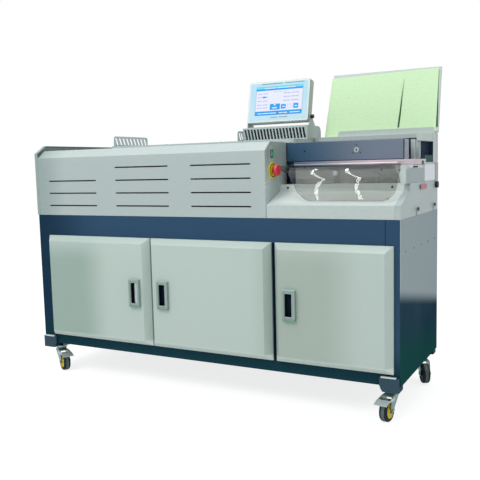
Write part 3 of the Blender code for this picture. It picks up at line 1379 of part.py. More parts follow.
def station_inner_panel(bench):
    """Upright panel under the table, with a gusset at its right end and a hole for the stop knob."""
    bottom = DECK_RISER_TOP + GAP
    top = TABLE_TOP - TABLE_THICKNESS - GAP
    outline = rectangle(INNER_PANEL_LEFT, bottom, INNER_PANEL_RIGHT, top)
    hole = circle((STOP_KNOB_X, STOP_KNOB_Z), STOP_KNOB_RADIUS / 2 + GAP)
    y_end = INNER_PANEL_Y + PLATE
    panel = bench.prism([outline, hole], "Y", INNER_PANEL_Y, y_end, "station_inner_panel", "light")
    gusset = [
        Vector((GUSSET_FRONT, bottom)),
        Vector((y_end - GAP, bottom)),
        Vector((y_end - GAP, FRAME_BASE_TOP)),
        Vector((GUSSET_FRONT, FRAME_BASE_TOP)),
    ]
    right = INNER_PANEL_RIGHT
    bench.join(panel, bench.prism([gusset], "X", right - GUSSET_WIDTH, right - GAP))
    knob_front = INNER_PANEL_Y - STOP_KNOB_LENGTH
    knob = [
        (0.0, y_end + OVERRUN),
        (STOP_KNOB_RADIUS / 2, y_end + OVERRUN),
        (STOP_KNOB_RADIUS / 2, INNER_PANEL_Y - GAP),
        (STOP_KNOB_RADIUS, INNER_PANEL_Y - GAP),
        (STOP_KNOB_RADIUS, knob_front + STOP_KNOB_RADIUS / 2),
        (STOP_KNOB_RADIUS * STOP_KNOB_CROWN_SHARE, knob_front + STOP_KNOB_RADIUS / 8),
        (0.0, knob_front),
    ]
    bench.turned(knob, "Y", (STOP_KNOB_X, 0.0, STOP_KNOB_Z), "stop_knob", "white", steps=SMALL_ROUND)


def table_bar(bench):
    """Nipping table with a drilled front lip and the lugs and rod of the clear shield."""
    section = [
        Vector((TABLE_FRONT, TABLE_TOP - TABLE_LIP)),
        Vector((TABLE_FRONT + TABLE_THICKNESS, TABLE_TOP - TABLE_LIP)),
        Vector((TABLE_FRONT + TABLE_THICKNESS, TABLE_TOP - TABLE_THICKNESS)),
        Vector((TABLE_REAR, TABLE_TOP - TABLE_THICKNESS)),
        Vector((TABLE_REAR, TABLE_TOP)),
        Vector((TABLE_FRONT, TABLE_TOP)),
    ]
    table = bench.prism([section], "X", TABLE_LEFT, TABLE_RIGHT, "table_bar", "aluminium")
    rod_start, rod_end = SHIELD_LUGS_X[0] - SHIELD_LUG, SHIELD_LUGS_X[-1] + SHIELD_LUG
    place = (0.0, SHIELD_AXIS_Y, SHIELD_AXIS_Z)
    bench.join(table, bench.rod(SHIELD_ROD, "X", place, rod_start, rod_end, steps=12))
    for middle in SHIELD_LUGS_X:
        bench.join(
            table,
            bench.box(
                (middle - SHIELD_LUG / 2, SHIELD_AXIS_Y, SHIELD_AXIS_Z - SHIELD_ROD * LUG_HEIGHT_SHARE),
                (middle + SHIELD_LUG / 2, TABLE_FRONT + GAP, SHIELD_AXIS_Z + SHIELD_ROD * LUG_HEIGHT_SHARE),
            ),
        )
    for inset in TABLE_HOLE_INSETS:
        drill = (TABLE_RIGHT - inset, 0.0, TABLE_TOP - TABLE_LIP / 2)
        end = TABLE_FRONT + TABLE_THICKNESS / 2
        bench.cut(table, bench.rod(TABLE_HOLE, "Y", drill, TABLE_FRONT - OVERRUN, end, steps=8))


def clear_shield(bench):
    """Curved transparent guard hung on the table's rod, with a shaped lower edge."""
    edge = SHIELD_ROD + GAP
    start = (SHIELD_AXIS_Y - edge, SHIELD_AXIS_Z)
    bulge = (SHIELD_BULGE_Y, SHIELD_BULGE_Z)
    path = bend(start, bulge, (SHIELD_END_Y, SHIELD_END_Z), 2 * CORNER + 2)
    tip, right = SHIELD_TIP_X, SHIELD_RIGHT
    shield = bench.prism([band(path, SHIELD_SHEET)], "X", tip, right, "clear_shield", "clear")
    top = SHIELD_AXIS_Z + OVERRUN
    low = SHIELD_END_Z - OVERRUN
    outline = [Vector((tip - OVERRUN, SHIELD_BULGE_Z))]
    outline.extend(
        bend(
            (tip + OVERRUN, SHIELD_BULGE_Z - OVERRUN),
            (SHIELD_SHOULDER_X, SHIELD_SHOULDER_Z),
            (SHIELD_WAIST_X, SHIELD_WAIST_Z),
            CORNER,
        )
    )
    outline.extend(
        bend(
            (SHIELD_WAIST_X + 2 * OVERRUN, SHIELD_WAIST_Z - OVERRUN),
            (SHIELD_WAIST_X + 8 * OVERRUN, low),
            (SHIELD_LEFT_FOOT, low),
            CORNER,
        )
    )
    outline.extend(
        bend((SHIELD_FOOT_RIGHT, low), (right - OVERRUN, low), (right - GAP, SHIELD_RIGHT_Z), 2 * CORNER)
    )
    shoulder = (right - GAP, SHIELD_BULGE_Z - 2 * OVERRUN)
    outline.extend(bend(shoulder, (right - OVERRUN, top), (SHIELD_TOP_RIGHT, top), CORNER))
    outline.append(Vector((tip - OVERRUN, top)))
    cookie = bench.prism([outline], "Y", SHIELD_END_Y - OVERRUN, SHIELD_AXIS_Y + OVERRUN)
    bench.combine(shield, cookie, "INTERSECT")
    set_origin(shield, (tip, SHIELD_AXIS_Y, SHIELD_AXIS_Z))


def front_jaw(bench):
    """Blue clamp jaw that slides on two cross rods, with a lock knob in its face."""
    jaw = bench.box(
        (JAW_LEFT, FRONT_JAW_Y, JAW_BOTTOM), (JAW_RIGHT, FRONT_JAW_REAR, JAW_TOP), "front_jaw", "jaw"
    )
    bevel(jaw, JAW_BEVEL, 1)
    rod_end = FRONT_JAW_REAR + CROSS_ROD_LENGTH
    for x in (JAW_LEFT + CROSS_ROD_INSET, JAW_RIGHT - CROSS_ROD_INSET):
        place = (x, 0.0, CROSS_ROD_Z)
        bench.join(jaw, bench.rod(CROSS_ROD, "Y", place, FRONT_JAW_REAR - OVERRUN, rod_end, steps=12))
    knob_place = (LOCK_KNOB_X, 0.0, LOCK_KNOB_Z)
    knob_rear = FRONT_JAW_Y + 2 * OVERRUN
    knob_bore = bench.rod(LOCK_KNOB_RADIUS + GAP, "Y", knob_place, FRONT_JAW_Y - OVERRUN, knob_rear + GAP)
    sight = (SIGHT_HOLE_X, 0.0, LOCK_KNOB_Z)
    sight_hole = bench.rod(SIGHT_HOLE_RADIUS, "Y", sight, FRONT_JAW_Y - OVERRUN, knob_rear, steps=12)
    bench.cut(jaw, knob_bore, sight_hole)
    face = FRONT_JAW_Y - LOCK_KNOB_PROUD
    knob = bench.rod(
        LOCK_KNOB_RADIUS, "Y", knob_place, face, knob_rear, "jaw_lock_knob", "chrome", steps=ROUND
    )
    half = LOCK_KNOB_RADIUS * LOCK_SLOT_SHARE
    bench.cut(
        knob,
        bench.box(
            (LOCK_KNOB_X - half, face - OVERRUN, LOCK_KNOB_Z - LOCK_SLOT_WIDTH / 2),
            (LOCK_KNOB_X + half, FRONT_JAW_Y + GAP, LOCK_KNOB_Z + LOCK_SLOT_WIDTH / 2),
        ),
    )


def rear_jaw(bench):
    """Rear jaw with the carriage body and the bearings that run on the two guide rods."""
    section = [
        Vector((REAR_JAW_Y, JAW_BOTTOM)),
        Vector((CARRIAGE_REAR, JAW_BOTTOM)),
        Vector((CARRIAGE_REAR, CARRIAGE_SHELF)),
        Vector((REAR_JAW_Y + REAR_JAW_DEPTH, CARRIAGE_SHELF)),
        Vector((REAR_JAW_Y + REAR_JAW_DEPTH, JAW_TOP)),
        Vector((REAR_JAW_Y, JAW_TOP)),
    ]
    jaw = bench.prism([section], "X", JAW_LEFT, JAW_RIGHT, "rear_jaw", "light")
    for left in (JAW_LEFT, JAW_RIGHT - BEARING_LENGTH):
        low = (left, BEARING_FRONT, BEARING_BOTTOM)
        high = (left + BEARING_LENGTH, CARRIAGE_REAR, JAW_BOTTOM + OVERRUN)
        bench.join(jaw, bench.box(low, high))
    for height in (GUIDE_ROD_LOW, GUIDE_ROD_HIGH):
        place = (0.0, GUIDE_ROD_Y, height)
        bench.cut(jaw, bench.rod(GUIDE_ROD + GAP, "X", place, JAW_LEFT - OVERRUN, JAW_RIGHT + OVERRUN))
    bore_end = FRONT_JAW_REAR + CROSS_ROD_LENGTH + JAW_TRAVEL + RUNNING_GAP
    for x in (JAW_LEFT + CROSS_ROD_INSET, JAW_RIGHT - CROSS_ROD_INSET):
        place = (x, 0.0, CROSS_ROD_Z)
        bench.cut(jaw, bench.rod(CROSS_ROD + GAP, "Y", place, REAR_JAW_Y - OVERRUN, bore_end, steps=12))


def guide_rails(bench):
    """Two guide rods held by a standing plate at each end."""
    half = GUIDE_PLATE_MARGIN
    bottom, top = BED_TOP + GAP, GUIDE_ROD_HIGH + GUIDE_PLATE_MARGIN
    left = END_PLATE_FLANGE
    right = GUIDE_PLATE_RIGHT
    rails = bench.box(
        (left, GUIDE_ROD_Y - half, bottom),
        (left + GUIDE_PLATE_THICKNESS, GUIDE_ROD_Y + half, top),
        "guide_rails",
        "steel",
    )
    bench.join(
        rails,
        bench.box(
            (right - GUIDE_PLATE_THICKNESS, GUIDE_ROD_Y - half, bottom), (right, GUIDE_ROD_Y + half, top)
        ),
    )
    for height in (GUIDE_ROD_LOW, GUIDE_ROD_HIGH):
        place = (0.0, GUIDE_ROD_Y, height)
        bench.join(rails, bench.rod(GUIDE_ROD, "X", place, left + GAP, right - GAP))


def rear_cover(bench):
    """Vented back wall of the housing, folded over into the beam behind the clamp."""
    left = END_PLATE_FLANGE - END_PLATE_PROUD + GAP
    right = SIDE_PLATE_X - GAP
    wall_front = REAR_WALL_Y - SHEET
    wall_top = DECK_UNDER - GAP
    wall = rectangle(left, SEAT_Z, STATION_LEFT + COVER_RETURN, wall_top)
    vents = []
    for start in SLOT_COLUMNS:
        for row in range(REAR_VENTS):
            height = SLOT_SECOND_ROW + row * BACK_VENT_PITCH
            vents.append(slot(start, height, BACK_VENT_LENGTH, BACK_VENT_WIDTH))
    half_width, half_height = INLET_WIDTH / 2 - INLET_RIM, INLET_HEIGHT / 2 - INLET_RIM
    inlet = rectangle(
        INLET_X - half_width - GAP,
        INLET_Z - half_height - GAP,
        INLET_X + half_width + GAP,
        INLET_Z + half_height + GAP,
    )
    cover = bench.prism([wall], "Y", wall_front, REAR_WALL_Y, "rear_cover", "light")
    path = [
        Vector((BEAM_FRONT, BEAM_TOP - BEAM_LIP)),
        Vector((BEAM_FRONT, BEAM_TOP)),
        Vector((REAR_WALL_Y, BEAM_TOP)),
        Vector((REAR_WALL_Y, SEAT_Z)),
    ]
    bench.join(cover, bench.prism([band(path, -SHEET)], "X", STATION_LEFT, right))
    bench.cut(cover, bench.prism([inlet, *vents], "Y", wall_front - OVERRUN, REAR_WALL_Y + OVERRUN))


def mains_inlet(bench):
    """Appliance inlet in the back wall: a rim, a recess and three pins."""
    start = REAR_WALL_Y + GAP
    half_width, half_height = INLET_WIDTH / 2, INLET_HEIGHT / 2
    rim = rounded(
        INLET_X - half_width,
        INLET_Z - half_height,
        INLET_X + half_width,
        INLET_Z + half_height,
        (INLET_CORNER,) * 4,
    )
    inlet = bench.prism([rim], "Y", start, start + INLET_PROUD, "mains_inlet", "black")
    half_width -= INLET_RIM
    half_height -= INLET_RIM
    deep = start - INLET_BODY_DEPTH
    bench.join(
        inlet,
        bench.box(
            (INLET_X - half_width, deep, INLET_Z - half_height),
            (INLET_X + half_width, start + INLET_PROUD / 2, INLET_Z + half_height),
        ),
    )
    bench.cut(
        inlet,
        bench.box(
            (INLET_X - half_width + PLATE, deep + 2 * PLATE, INLET_Z - half_height + PLATE),
            (INLET_X + half_width - PLATE, start + INLET_PROUD + OVERRUN, INLET_Z + half_height - PLATE),
        ),
    )
    for share in (-0.5, 0.0, 0.5):
        x = INLET_X + share * half_width
        bench.join(
            inlet,
            bench.box(
                (x - SHEET, deep + PLATE, INLET_Z - PLATE), (x + SHEET, start - OVERRUN, INLET_Z + PLATE)
            ),
        )


def cover_feeder(bench):
    """Guide plate, leaning backboard and the slit sheet of cover stock in front of it."""
    seat = BEAM_TOP + GAP
    outline = rounded(GUIDE_LEFT, seat, GUIDE_RIGHT, GUIDE_TOP, (0, 0, GUIDE_CORNER / 2, GUIDE_CORNER))
    guide = bench.prism([outline], "Y", GUIDE_Y, GUIDE_Y + SHEET, "cover_guide", "light")
    foot_end = GUIDE_Y + GUIDE_FOOT
    foot_low = (GUIDE_LEFT + GAP, GUIDE_Y + GAP, seat)
    bench.join(guide, bench.box(foot_low, (GUIDE_RIGHT - GAP, foot_end, seat + SHEET)))
    lean = bench.empty("feeder_lean", (0.0, FEED_Y, seat), bench.root, (-FEED_TILT, 0.0, 0.0))
    slope = math.tan(FEED_TILT)
    low = FEED_SHEET_THICKNESS * slope + GAP
    slit_foot = FEED_SLIT_X - FEED_SLIT_LEAN
    outline = [
        Vector((FEED_SHEET_LEFT, low)),
        Vector((slit_foot - FEED_SLIT_WIDTH, low)),
        Vector((FEED_SLIT_X - FEED_SLIT_WIDTH / 2, FEED_SLIT_TOP * FEED_SLIT_BEND_SHARE)),
        Vector((FEED_SLIT_X, FEED_SLIT_TOP)),
        Vector((FEED_SLIT_X, FEED_SLIT_TOP * FEED_SLIT_BEND_SHARE)),
        Vector((slit_foot, low)),
        Vector((FEED_SHEET_RIGHT, low)),
        Vector((FEED_SHEET_RIGHT, FEED_SHEET_HEIGHT)),
        Vector((FEED_SHEET_TOP_LEFT, FEED_SHEET_LEFT_HEIGHT)),
    ]
    bench.prism([outline], "Y", 0.0, FEED_SHEET_THICKNESS, "cover_sheet", "paper", lean)
    front = FEED_SHEET_THICKNESS + GAP
    rear = front + FEED_BOARD_DEPTH
    board_low = rear * slope + GAP
    board = bench.box(
        (FEED_BOARD_LEFT, front, board_low),
        (FEED_BOARD_RIGHT, rear, FEED_BOARD_HEIGHT),
        "cover_backboard",
        "light",
        lean,
    )
    bench.cut(
        board,
        bench.box(
            (FEED_BOARD_LEFT + PLATE, front + PLATE, board_low + PLATE),
            (FEED_BOARD_RIGHT - PLATE, rear + OVERRUN, FEED_BOARD_HEIGHT - PLATE),
            parent=lean,
        ),
    )


def milling_cutter(bench):
    """Toothed face cutter on an upright spindle."""
    teeth = []
    for index in range(CUTTER_TEETH):
        angle = math.tau * index / CUTTER_TEETH
        gullet = CUTTER_RADIUS - CUTTER_TOOTH_DEPTH
        pitch = math.tau / CUTTER_TEETH
        for radius, share in zip((gullet, CUTTER_RADIUS, CUTTER_RADIUS), CUTTER_TOOTH_SHARES):
            turn = angle + pitch * share
            teeth.append(Vector((radius * math.cos(turn), radius * math.sin(turn))))
    bottom = CUTTER_TOP - CUTTER_THICKNESS
    cutter = bench.prism([teeth], "Z", bottom, CUTTER_TOP, "milling_cutter", "steel")
    hub_bottom = SPINDLE_HOUSING_TOP + GAP
    spindle = [
        (0.0, bottom + CUTTER_THICKNESS / 2),
        (CUTTER_HUB, bottom + CUTTER_THICKNESS / 2),
        (CUTTER_HUB, hub_bottom),
        (SPINDLE_RADIUS, hub_bottom),
        (SPINDLE_RADIUS, hub_bottom - SPINDLE_LENGTH),
        (0.0, hub_bottom - SPINDLE_LENGTH),
    ]
    bench.join(cutter, bench.turned(spindle, "Z", (CUTTER_X, CUTTER_Y, 0.0)))
    cutter.location = (CUTTER_X, CUTTER_Y, 0.0)


def glue_tank(bench):
    """Open heated tank whose tall side walls carry the roller shafts."""
    tank = bench.box(
        (TANK_LEFT, TANK_FRONT, BED_TOP + GAP), (TANK_RIGHT, TANK_REAR, TANK_SIDE_TOP), "glue_tank", "cast"
    )
    wall = TANK_WALL
    bench.cut(
        tank,
        bench.box(
            (TANK_LEFT + wall, TANK_FRONT + wall, TANK_FLOOR),
            (TANK_RIGHT - wall, TANK_REAR - wall, TANK_SIDE_TOP + OVERRUN),
        ),
        bench.box(
            (TANK_LEFT - OVERRUN, TANK_FRONT + wall, TANK_RIM),
            (TANK_RIGHT + OVERRUN, TANK_REAR - wall, TANK_SIDE_TOP + OVERRUN),
        ),
    )
    for x in (FRONT_ROLLER_X, REAR_ROLLER_X):
        place = (x, 0.0, ROLLER_Z)
        start, end = TANK_FRONT - OVERRUN, TANK_REAR + OVERRUN
        bench.cut(tank, bench.rod(ROLLER_SHAFT + GAP, "Y", place, start, end))


def gear_outline(turn):
    """Outline of a spur gear with straight-flanked teeth, turned by an angle."""
    pitch_radius = ROLLER_SPACING / 2
    tip, root = pitch_radius + GEAR_ADDENDUM, pitch_radius - GEAR_DEDENDUM
    flank = math.tan(math.radians(20.0))
    half_tip = (GEAR_TOOTH / 2 - GEAR_ADDENDUM * flank) / tip
    half_root = (GEAR_TOOTH / 2 + GEAR_DEDENDUM * flank) / root
    points = []
    for index in range(GEAR_TEETH):
        angle = turn + math.tau * index / GEAR_TEETH
        for radius, offset in ((root, -half_root), (tip, -half_tip), (tip, half_tip), (root, half_root)):
            points.append(Vector((radius * math.cos(angle + offset), radius * math.sin(angle + offset))))
    return points


def glue_roller(bench, name, x, turn):
    """Roller with its shaft and a drive gear in front of the tank."""
    start = TANK_FRONT + TANK_WALL + ROLLER_SIDE_CLEAR
    end = TANK_REAR - TANK_WALL - ROLLER_SIDE_CLEAR
    gear_end = TANK_FRONT - RUNNING_GAP
    gear_start = gear_end - GEAR_WIDTH
    profile = [
        (0.0, TANK_REAR + OVERRUN),
        (ROLLER_SHAFT, TANK_REAR + OVERRUN),
        (ROLLER_SHAFT, end),
        (ROLLER_RADIUS - RUNNING_GAP, end),
        (ROLLER_RADIUS, end - RUNNING_GAP),
        (ROLLER_RADIUS, start + RUNNING_GAP),
        (ROLLER_RADIUS - RUNNING_GAP, start),
        (ROLLER_SHAFT, start),
        (ROLLER_SHAFT, gear_start - PLATE),
        (0.0, gear_start - PLATE),
    ]
    place = (x, 0.0, ROLLER_Z)
    roller = bench.turned(profile, "Y", place, name, "rubber")
    gear = bench.prism([gear_outline(turn)], "Y", gear_start, gear_end)
    gear.location = place
    bench.join(roller, gear)


def clear_scene():
    """Remove whatever the scene holds."""
    for item in list(bpy.context.scene.objects):
        bpy.data.objects.remove(item)


def centre_on_floor(bench):
    """Move the machine so that the middle of its box stands over the origin."""
    bpy.context.view_layer.update()
    graph = bpy.context.evaluated_depsgraph_get()
    corners = []
    for piece in bench.parts.objects:
        shaped = piece.evaluated_get(graph)
        corners.extend(shaped.matrix_world @ vertex.co for vertex in shaped.data.vertices)
    for axis in (0, 1):
        places = [corner[axis] for corner in corners]
        bench.root.location[axis] = -(min(places) + max(places)) / 2


def main():
    """Build the whole machine."""
    clear_scene()
    bench = Bench()
    cabinet_frame(bench)
    cabinet_panels(bench)
    doors(bench)
    casters(bench)
    machine_bed(bench)
    left_end_plate(bench)
    hinged_cover(bench)
    control_plate(bench)
    rear_cover(bench)
    mains_inlet(bench)
    top_deck(bench)
    louvre(bench, "left_louvre", DECK_STEP_X + LOUVRE_FOOT, DECK_FRONT, LEFT_LOUVRE_LENGTH)
    right_guard = HOOD_LEFT - RIGHT_LOUVRE_CLEAR - PLATE
    louvre(bench, "right_louvre", right_guard, RIGHT_LOUVRE_FRONT, RIGHT_LOUVRE_LENGTH)
    vent_hood(bench)
    touch_panel(bench)
    controls(bench)
    station_deck(bench)
    station_side_plate(bench)
    side_clamp_knob(bench)
    right_frame_plate(bench)
    station_inner_panel(bench)
    table_bar(bench)
    clear_shield(bench)
    front_jaw(bench)
    rear_jaw(bench)
    guide_rails(bench)
    cover_feeder(bench)
    milling_cutter(bench)
    glue_tank(bench)
    glue_roller(bench, "front_glue_roller", FRONT_ROLLER_X, 0.0)
    glue_roller(bench, "rear_glue_roller", REAR_ROLLER_X, math.pi / GEAR_TEETH)
    centre_on_floor(bench)


main()
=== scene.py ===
"""Looks of a floor-standing thermal binding machine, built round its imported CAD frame.

Lengths are in metres. Points of the machine are written from the cabinet's front left corner
at floor level, and cab() moves them into the frame's own coordinates.
"""

import logging
import math
from collections.abc import Sequence
from dataclasses import dataclass, field, replace
from enum import Enum

import bmesh
import bpy
from mathutils import Matrix, Vector

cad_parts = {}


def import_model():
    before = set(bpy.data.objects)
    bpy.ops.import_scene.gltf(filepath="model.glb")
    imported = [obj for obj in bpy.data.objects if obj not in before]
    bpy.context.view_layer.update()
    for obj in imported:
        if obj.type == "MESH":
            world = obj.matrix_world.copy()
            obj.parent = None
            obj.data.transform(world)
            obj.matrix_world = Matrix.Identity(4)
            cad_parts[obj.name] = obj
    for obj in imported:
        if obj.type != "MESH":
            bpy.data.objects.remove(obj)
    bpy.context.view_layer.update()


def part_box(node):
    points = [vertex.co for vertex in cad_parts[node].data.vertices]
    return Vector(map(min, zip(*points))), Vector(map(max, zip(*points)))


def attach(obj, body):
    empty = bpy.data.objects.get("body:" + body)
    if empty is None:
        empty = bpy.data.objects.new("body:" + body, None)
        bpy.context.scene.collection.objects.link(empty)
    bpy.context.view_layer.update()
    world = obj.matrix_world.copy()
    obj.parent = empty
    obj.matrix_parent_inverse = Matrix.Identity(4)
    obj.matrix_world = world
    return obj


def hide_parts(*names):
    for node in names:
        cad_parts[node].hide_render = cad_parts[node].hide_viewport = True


LOG = logging.getLogger("binding_machine")
CAB_SHIFT = Vector((-0.7675, -0.2540, 0.0))
PROUD = 0.0003
MACHINE = "machine"
UP, FRONT, RIGHT = Vector((0, 0, 1)), Vector((0, -1, 0)), Vector((1, 0, 0))
WELD = 0.00002
FLAT_WITHIN = math.radians(0.6)
GREY = (0.5, 0.5, 0.5, 1.0)
COAT_ROUGHNESS = 0.12
ACRYLIC_IOR = 1.22
BUMP_DEPTH = 0.001
EDGE_BREAK_SCALE = 70.0
BRUSH_SPREAD = 0.14
COAT_SPREAD = 0.08
FLECK_SHARE = 0.6
DUST_SCALE = 8.0

Colour = tuple[int, int, int]
Point = tuple[float, float, float]
Outline = list[tuple[float, float]]
Rect = tuple[float, float, float, float]
Steps = tuple[tuple[float, float], ...]


def cab(x: float, y: float, z: float) -> Vector:
    """Moves a point from the cabinet's own coordinates into the frame's.

    Args:
        x: Distance from the cabinet's left side.
        y: Distance behind the cabinet's front.
        z: Height above the floor.

    Returns:
        The same point in the frame's coordinates.
    """
    return Vector((x, y, z)) + CAB_SHIFT


def linear(colour: Colour) -> tuple[float, float, float, float]:
    """Turns a display colour of 0 to 255 into Blender's linear colour.

    Args:
        colour: Red, green and blue as a display shows them.

    Returns:
        Linear red, green, blue and an alpha of 1.
    """
    shares = [value / 255 for value in colour]
    curve = [s / 12.92 if s <= 0.04045 else ((s + 0.055) / 1.055) ** 2.4 for s in shares]
    return (curve[0], curve[1], curve[2], 1.0)


class Graph:
    """A node tree with short calls for the nodes that the finishes use."""

    def __init__(self, tree: bpy.types.NodeTree) -> None:
        """Keeps the tree and the coordinate node that its textures share."""
        self.tree = tree
        self._coordinates: bpy.types.Node | None = None

    def node(self, kind: str, **settings: object) -> bpy.types.Node:
        """Adds a node.

        Args:
            kind: Blender's name of the node type.
            **settings: Properties to set on the node.

        Returns:
            The new node.
        """
        made = self.tree.nodes.new(kind)
        for name, value in settings.items():
            setattr(made, name, value)
        return made

    def feed(self, socket: bpy.types.NodeSocket, value: object) -> None:
        """Links a socket to another one, or sets its plain value.

        Args:
            socket: The input to feed.
            value: Another node's output, or a plain value.
        """
        if isinstance(value, bpy.types.NodeSocket):
            self.tree.links.new(value, socket)
        else:
            socket.default_value = value

    def place(self) -> bpy.types.NodeSocket:
        """Gives the object's own coordinates, which move with the piece.

        Returns:
            The coordinates.
        """
        if self._coordinates is None:
            self._coordinates = self.node("ShaderNodeTexCoord")
        return self._coordinates.outputs["Object"]

    def maths(self, operation: str, first: object, second: object) -> bpy.types.NodeSocket:
        """Adds a Math node.

        Args:
            operation: Blender's name of the operation.
            first: Its first value.
            second: Its second value.

        Returns:
            Its result.
        """
        made = self.node("ShaderNodeMath", operation=operation)
        self.feed(made.inputs[0], first)
        self.feed(made.inputs[1], second)
        return made.outputs[0]

    def product(self, first: object, *others: object) -> object:
        """Multiplies values.

        Args:
            first: The first value.
            *others: The values it is multiplied by.

        Returns:
            Their product.
        """
        for other in others:
            first = self.maths("MULTIPLY", first, other)
        return first

    def swing(self, base: object, noise: object, amount: object) -> bpy.types.NodeSocket:
        """Moves a value up and down with a noise.

        Args:
            base: The value in the middle.
            noise: A noise of 0 to 1.
            amount: How far the value swings from end to end.

        Returns:
            The moved value.
        """
        return self.maths("ADD", base, self.product(self.maths("SUBTRACT", noise, 0.5), amount))

    def spread(
        self, value: object, low: object, high: object, start: object, end: object,
    ) -> bpy.types.NodeSocket:
        """Maps a value's range smoothly onto another.

        Args:
            value: The value.
            low: Lower end of its range.
            high: Upper end of its range.
            start: What the lower end becomes.
            end: What the upper end becomes.

        Returns:
            The mapped value.
        """
        made = self.node("ShaderNodeMapRange", interpolation_type="SMOOTHSTEP")
        for index, item in enumerate((value, low, high, start, end)):
            self.feed(made.inputs[index], item)
        return made.outputs[0]

    def mix(self, share: object, low: object, high: object) -> bpy.types.NodeSocket:
        """Mixes two colours.

        Args:
            share: Share of the second colour.
            low: The first colour.
            high: The second colour.

        Returns:
            The mixed colour.
        """
        made = self.node("ShaderNodeMix", data_type="RGBA", blend_type="MIX")
        for index, item in ((0, share), (6, low), (7, high)):
            self.feed(made.inputs[index], item)
        return made.outputs[2]

    def shaded(self, colour: object, gain: object) -> bpy.types.NodeSocket:
        """Multiplies a colour's brightness.

        Args:
            colour: The colour.
            gain: What its brightness is multiplied by.

        Returns:
            The brighter or darker colour.
        """
        made = self.node("ShaderNodeHueSaturation")
        self.feed(made.inputs["Value"], gain)
        self.feed(made.inputs["Color"], colour)
        return made.outputs[0]

    def noise(
        self, scale: object, detail: float = 3.0, stretch: object = None,
    ) -> bpy.types.NodeSocket:
        """Adds a noise texture on the object's coordinates.

        Args:
            scale: Features per metre.
            detail: Octaves of the noise.
            stretch: Scale along each axis, where the noise is drawn out.

        Returns:
            The noise as a value of 0 to 1.
        """
        vector = self.place()
        if stretch is not None:
            scaled = self.node("ShaderNodeVectorMath", operation="MULTIPLY")
            self.feed(scaled.inputs[0], vector)
            self.feed(scaled.inputs[1], stretch)
            vector = scaled.outputs[0]
        made = self.node("ShaderNodeTexNoise")
        self.feed(made.inputs["Vector"], vector)
        self.feed(made.inputs["Scale"], scale)
        made.inputs["Detail"].default_value = detail
        return made.outputs[0]

    def axis(self, name: str) -> bpy.types.NodeSocket:
        """Gives one of the object's coordinates.

        Args:
            name: X, Y or Z.

        Returns:
            The coordinate as a value.
        """
        made = self.node("ShaderNodeSeparateXYZ")
        self.feed(made.inputs[0], self.place())
        return made.outputs[name]


class Effect(Enum):
    """The shared effects, each one a shader node group."""

    COAT = "powder_coat"
    # Edge wear together with painted highlight and shade on rounded edges.
    EDGE = "edge_wear"
    DUST = "settled_dust"
    BRUSH = "brushed_metal"
    GRAIN = "moulded_grain"
    FIBRE = "paper_fibre"
    SHADE = "soft_shade"


SOCKETS = {"colour": "NodeSocketColor", "value": "NodeSocketFloat", "vector": "NodeSocketVector"}


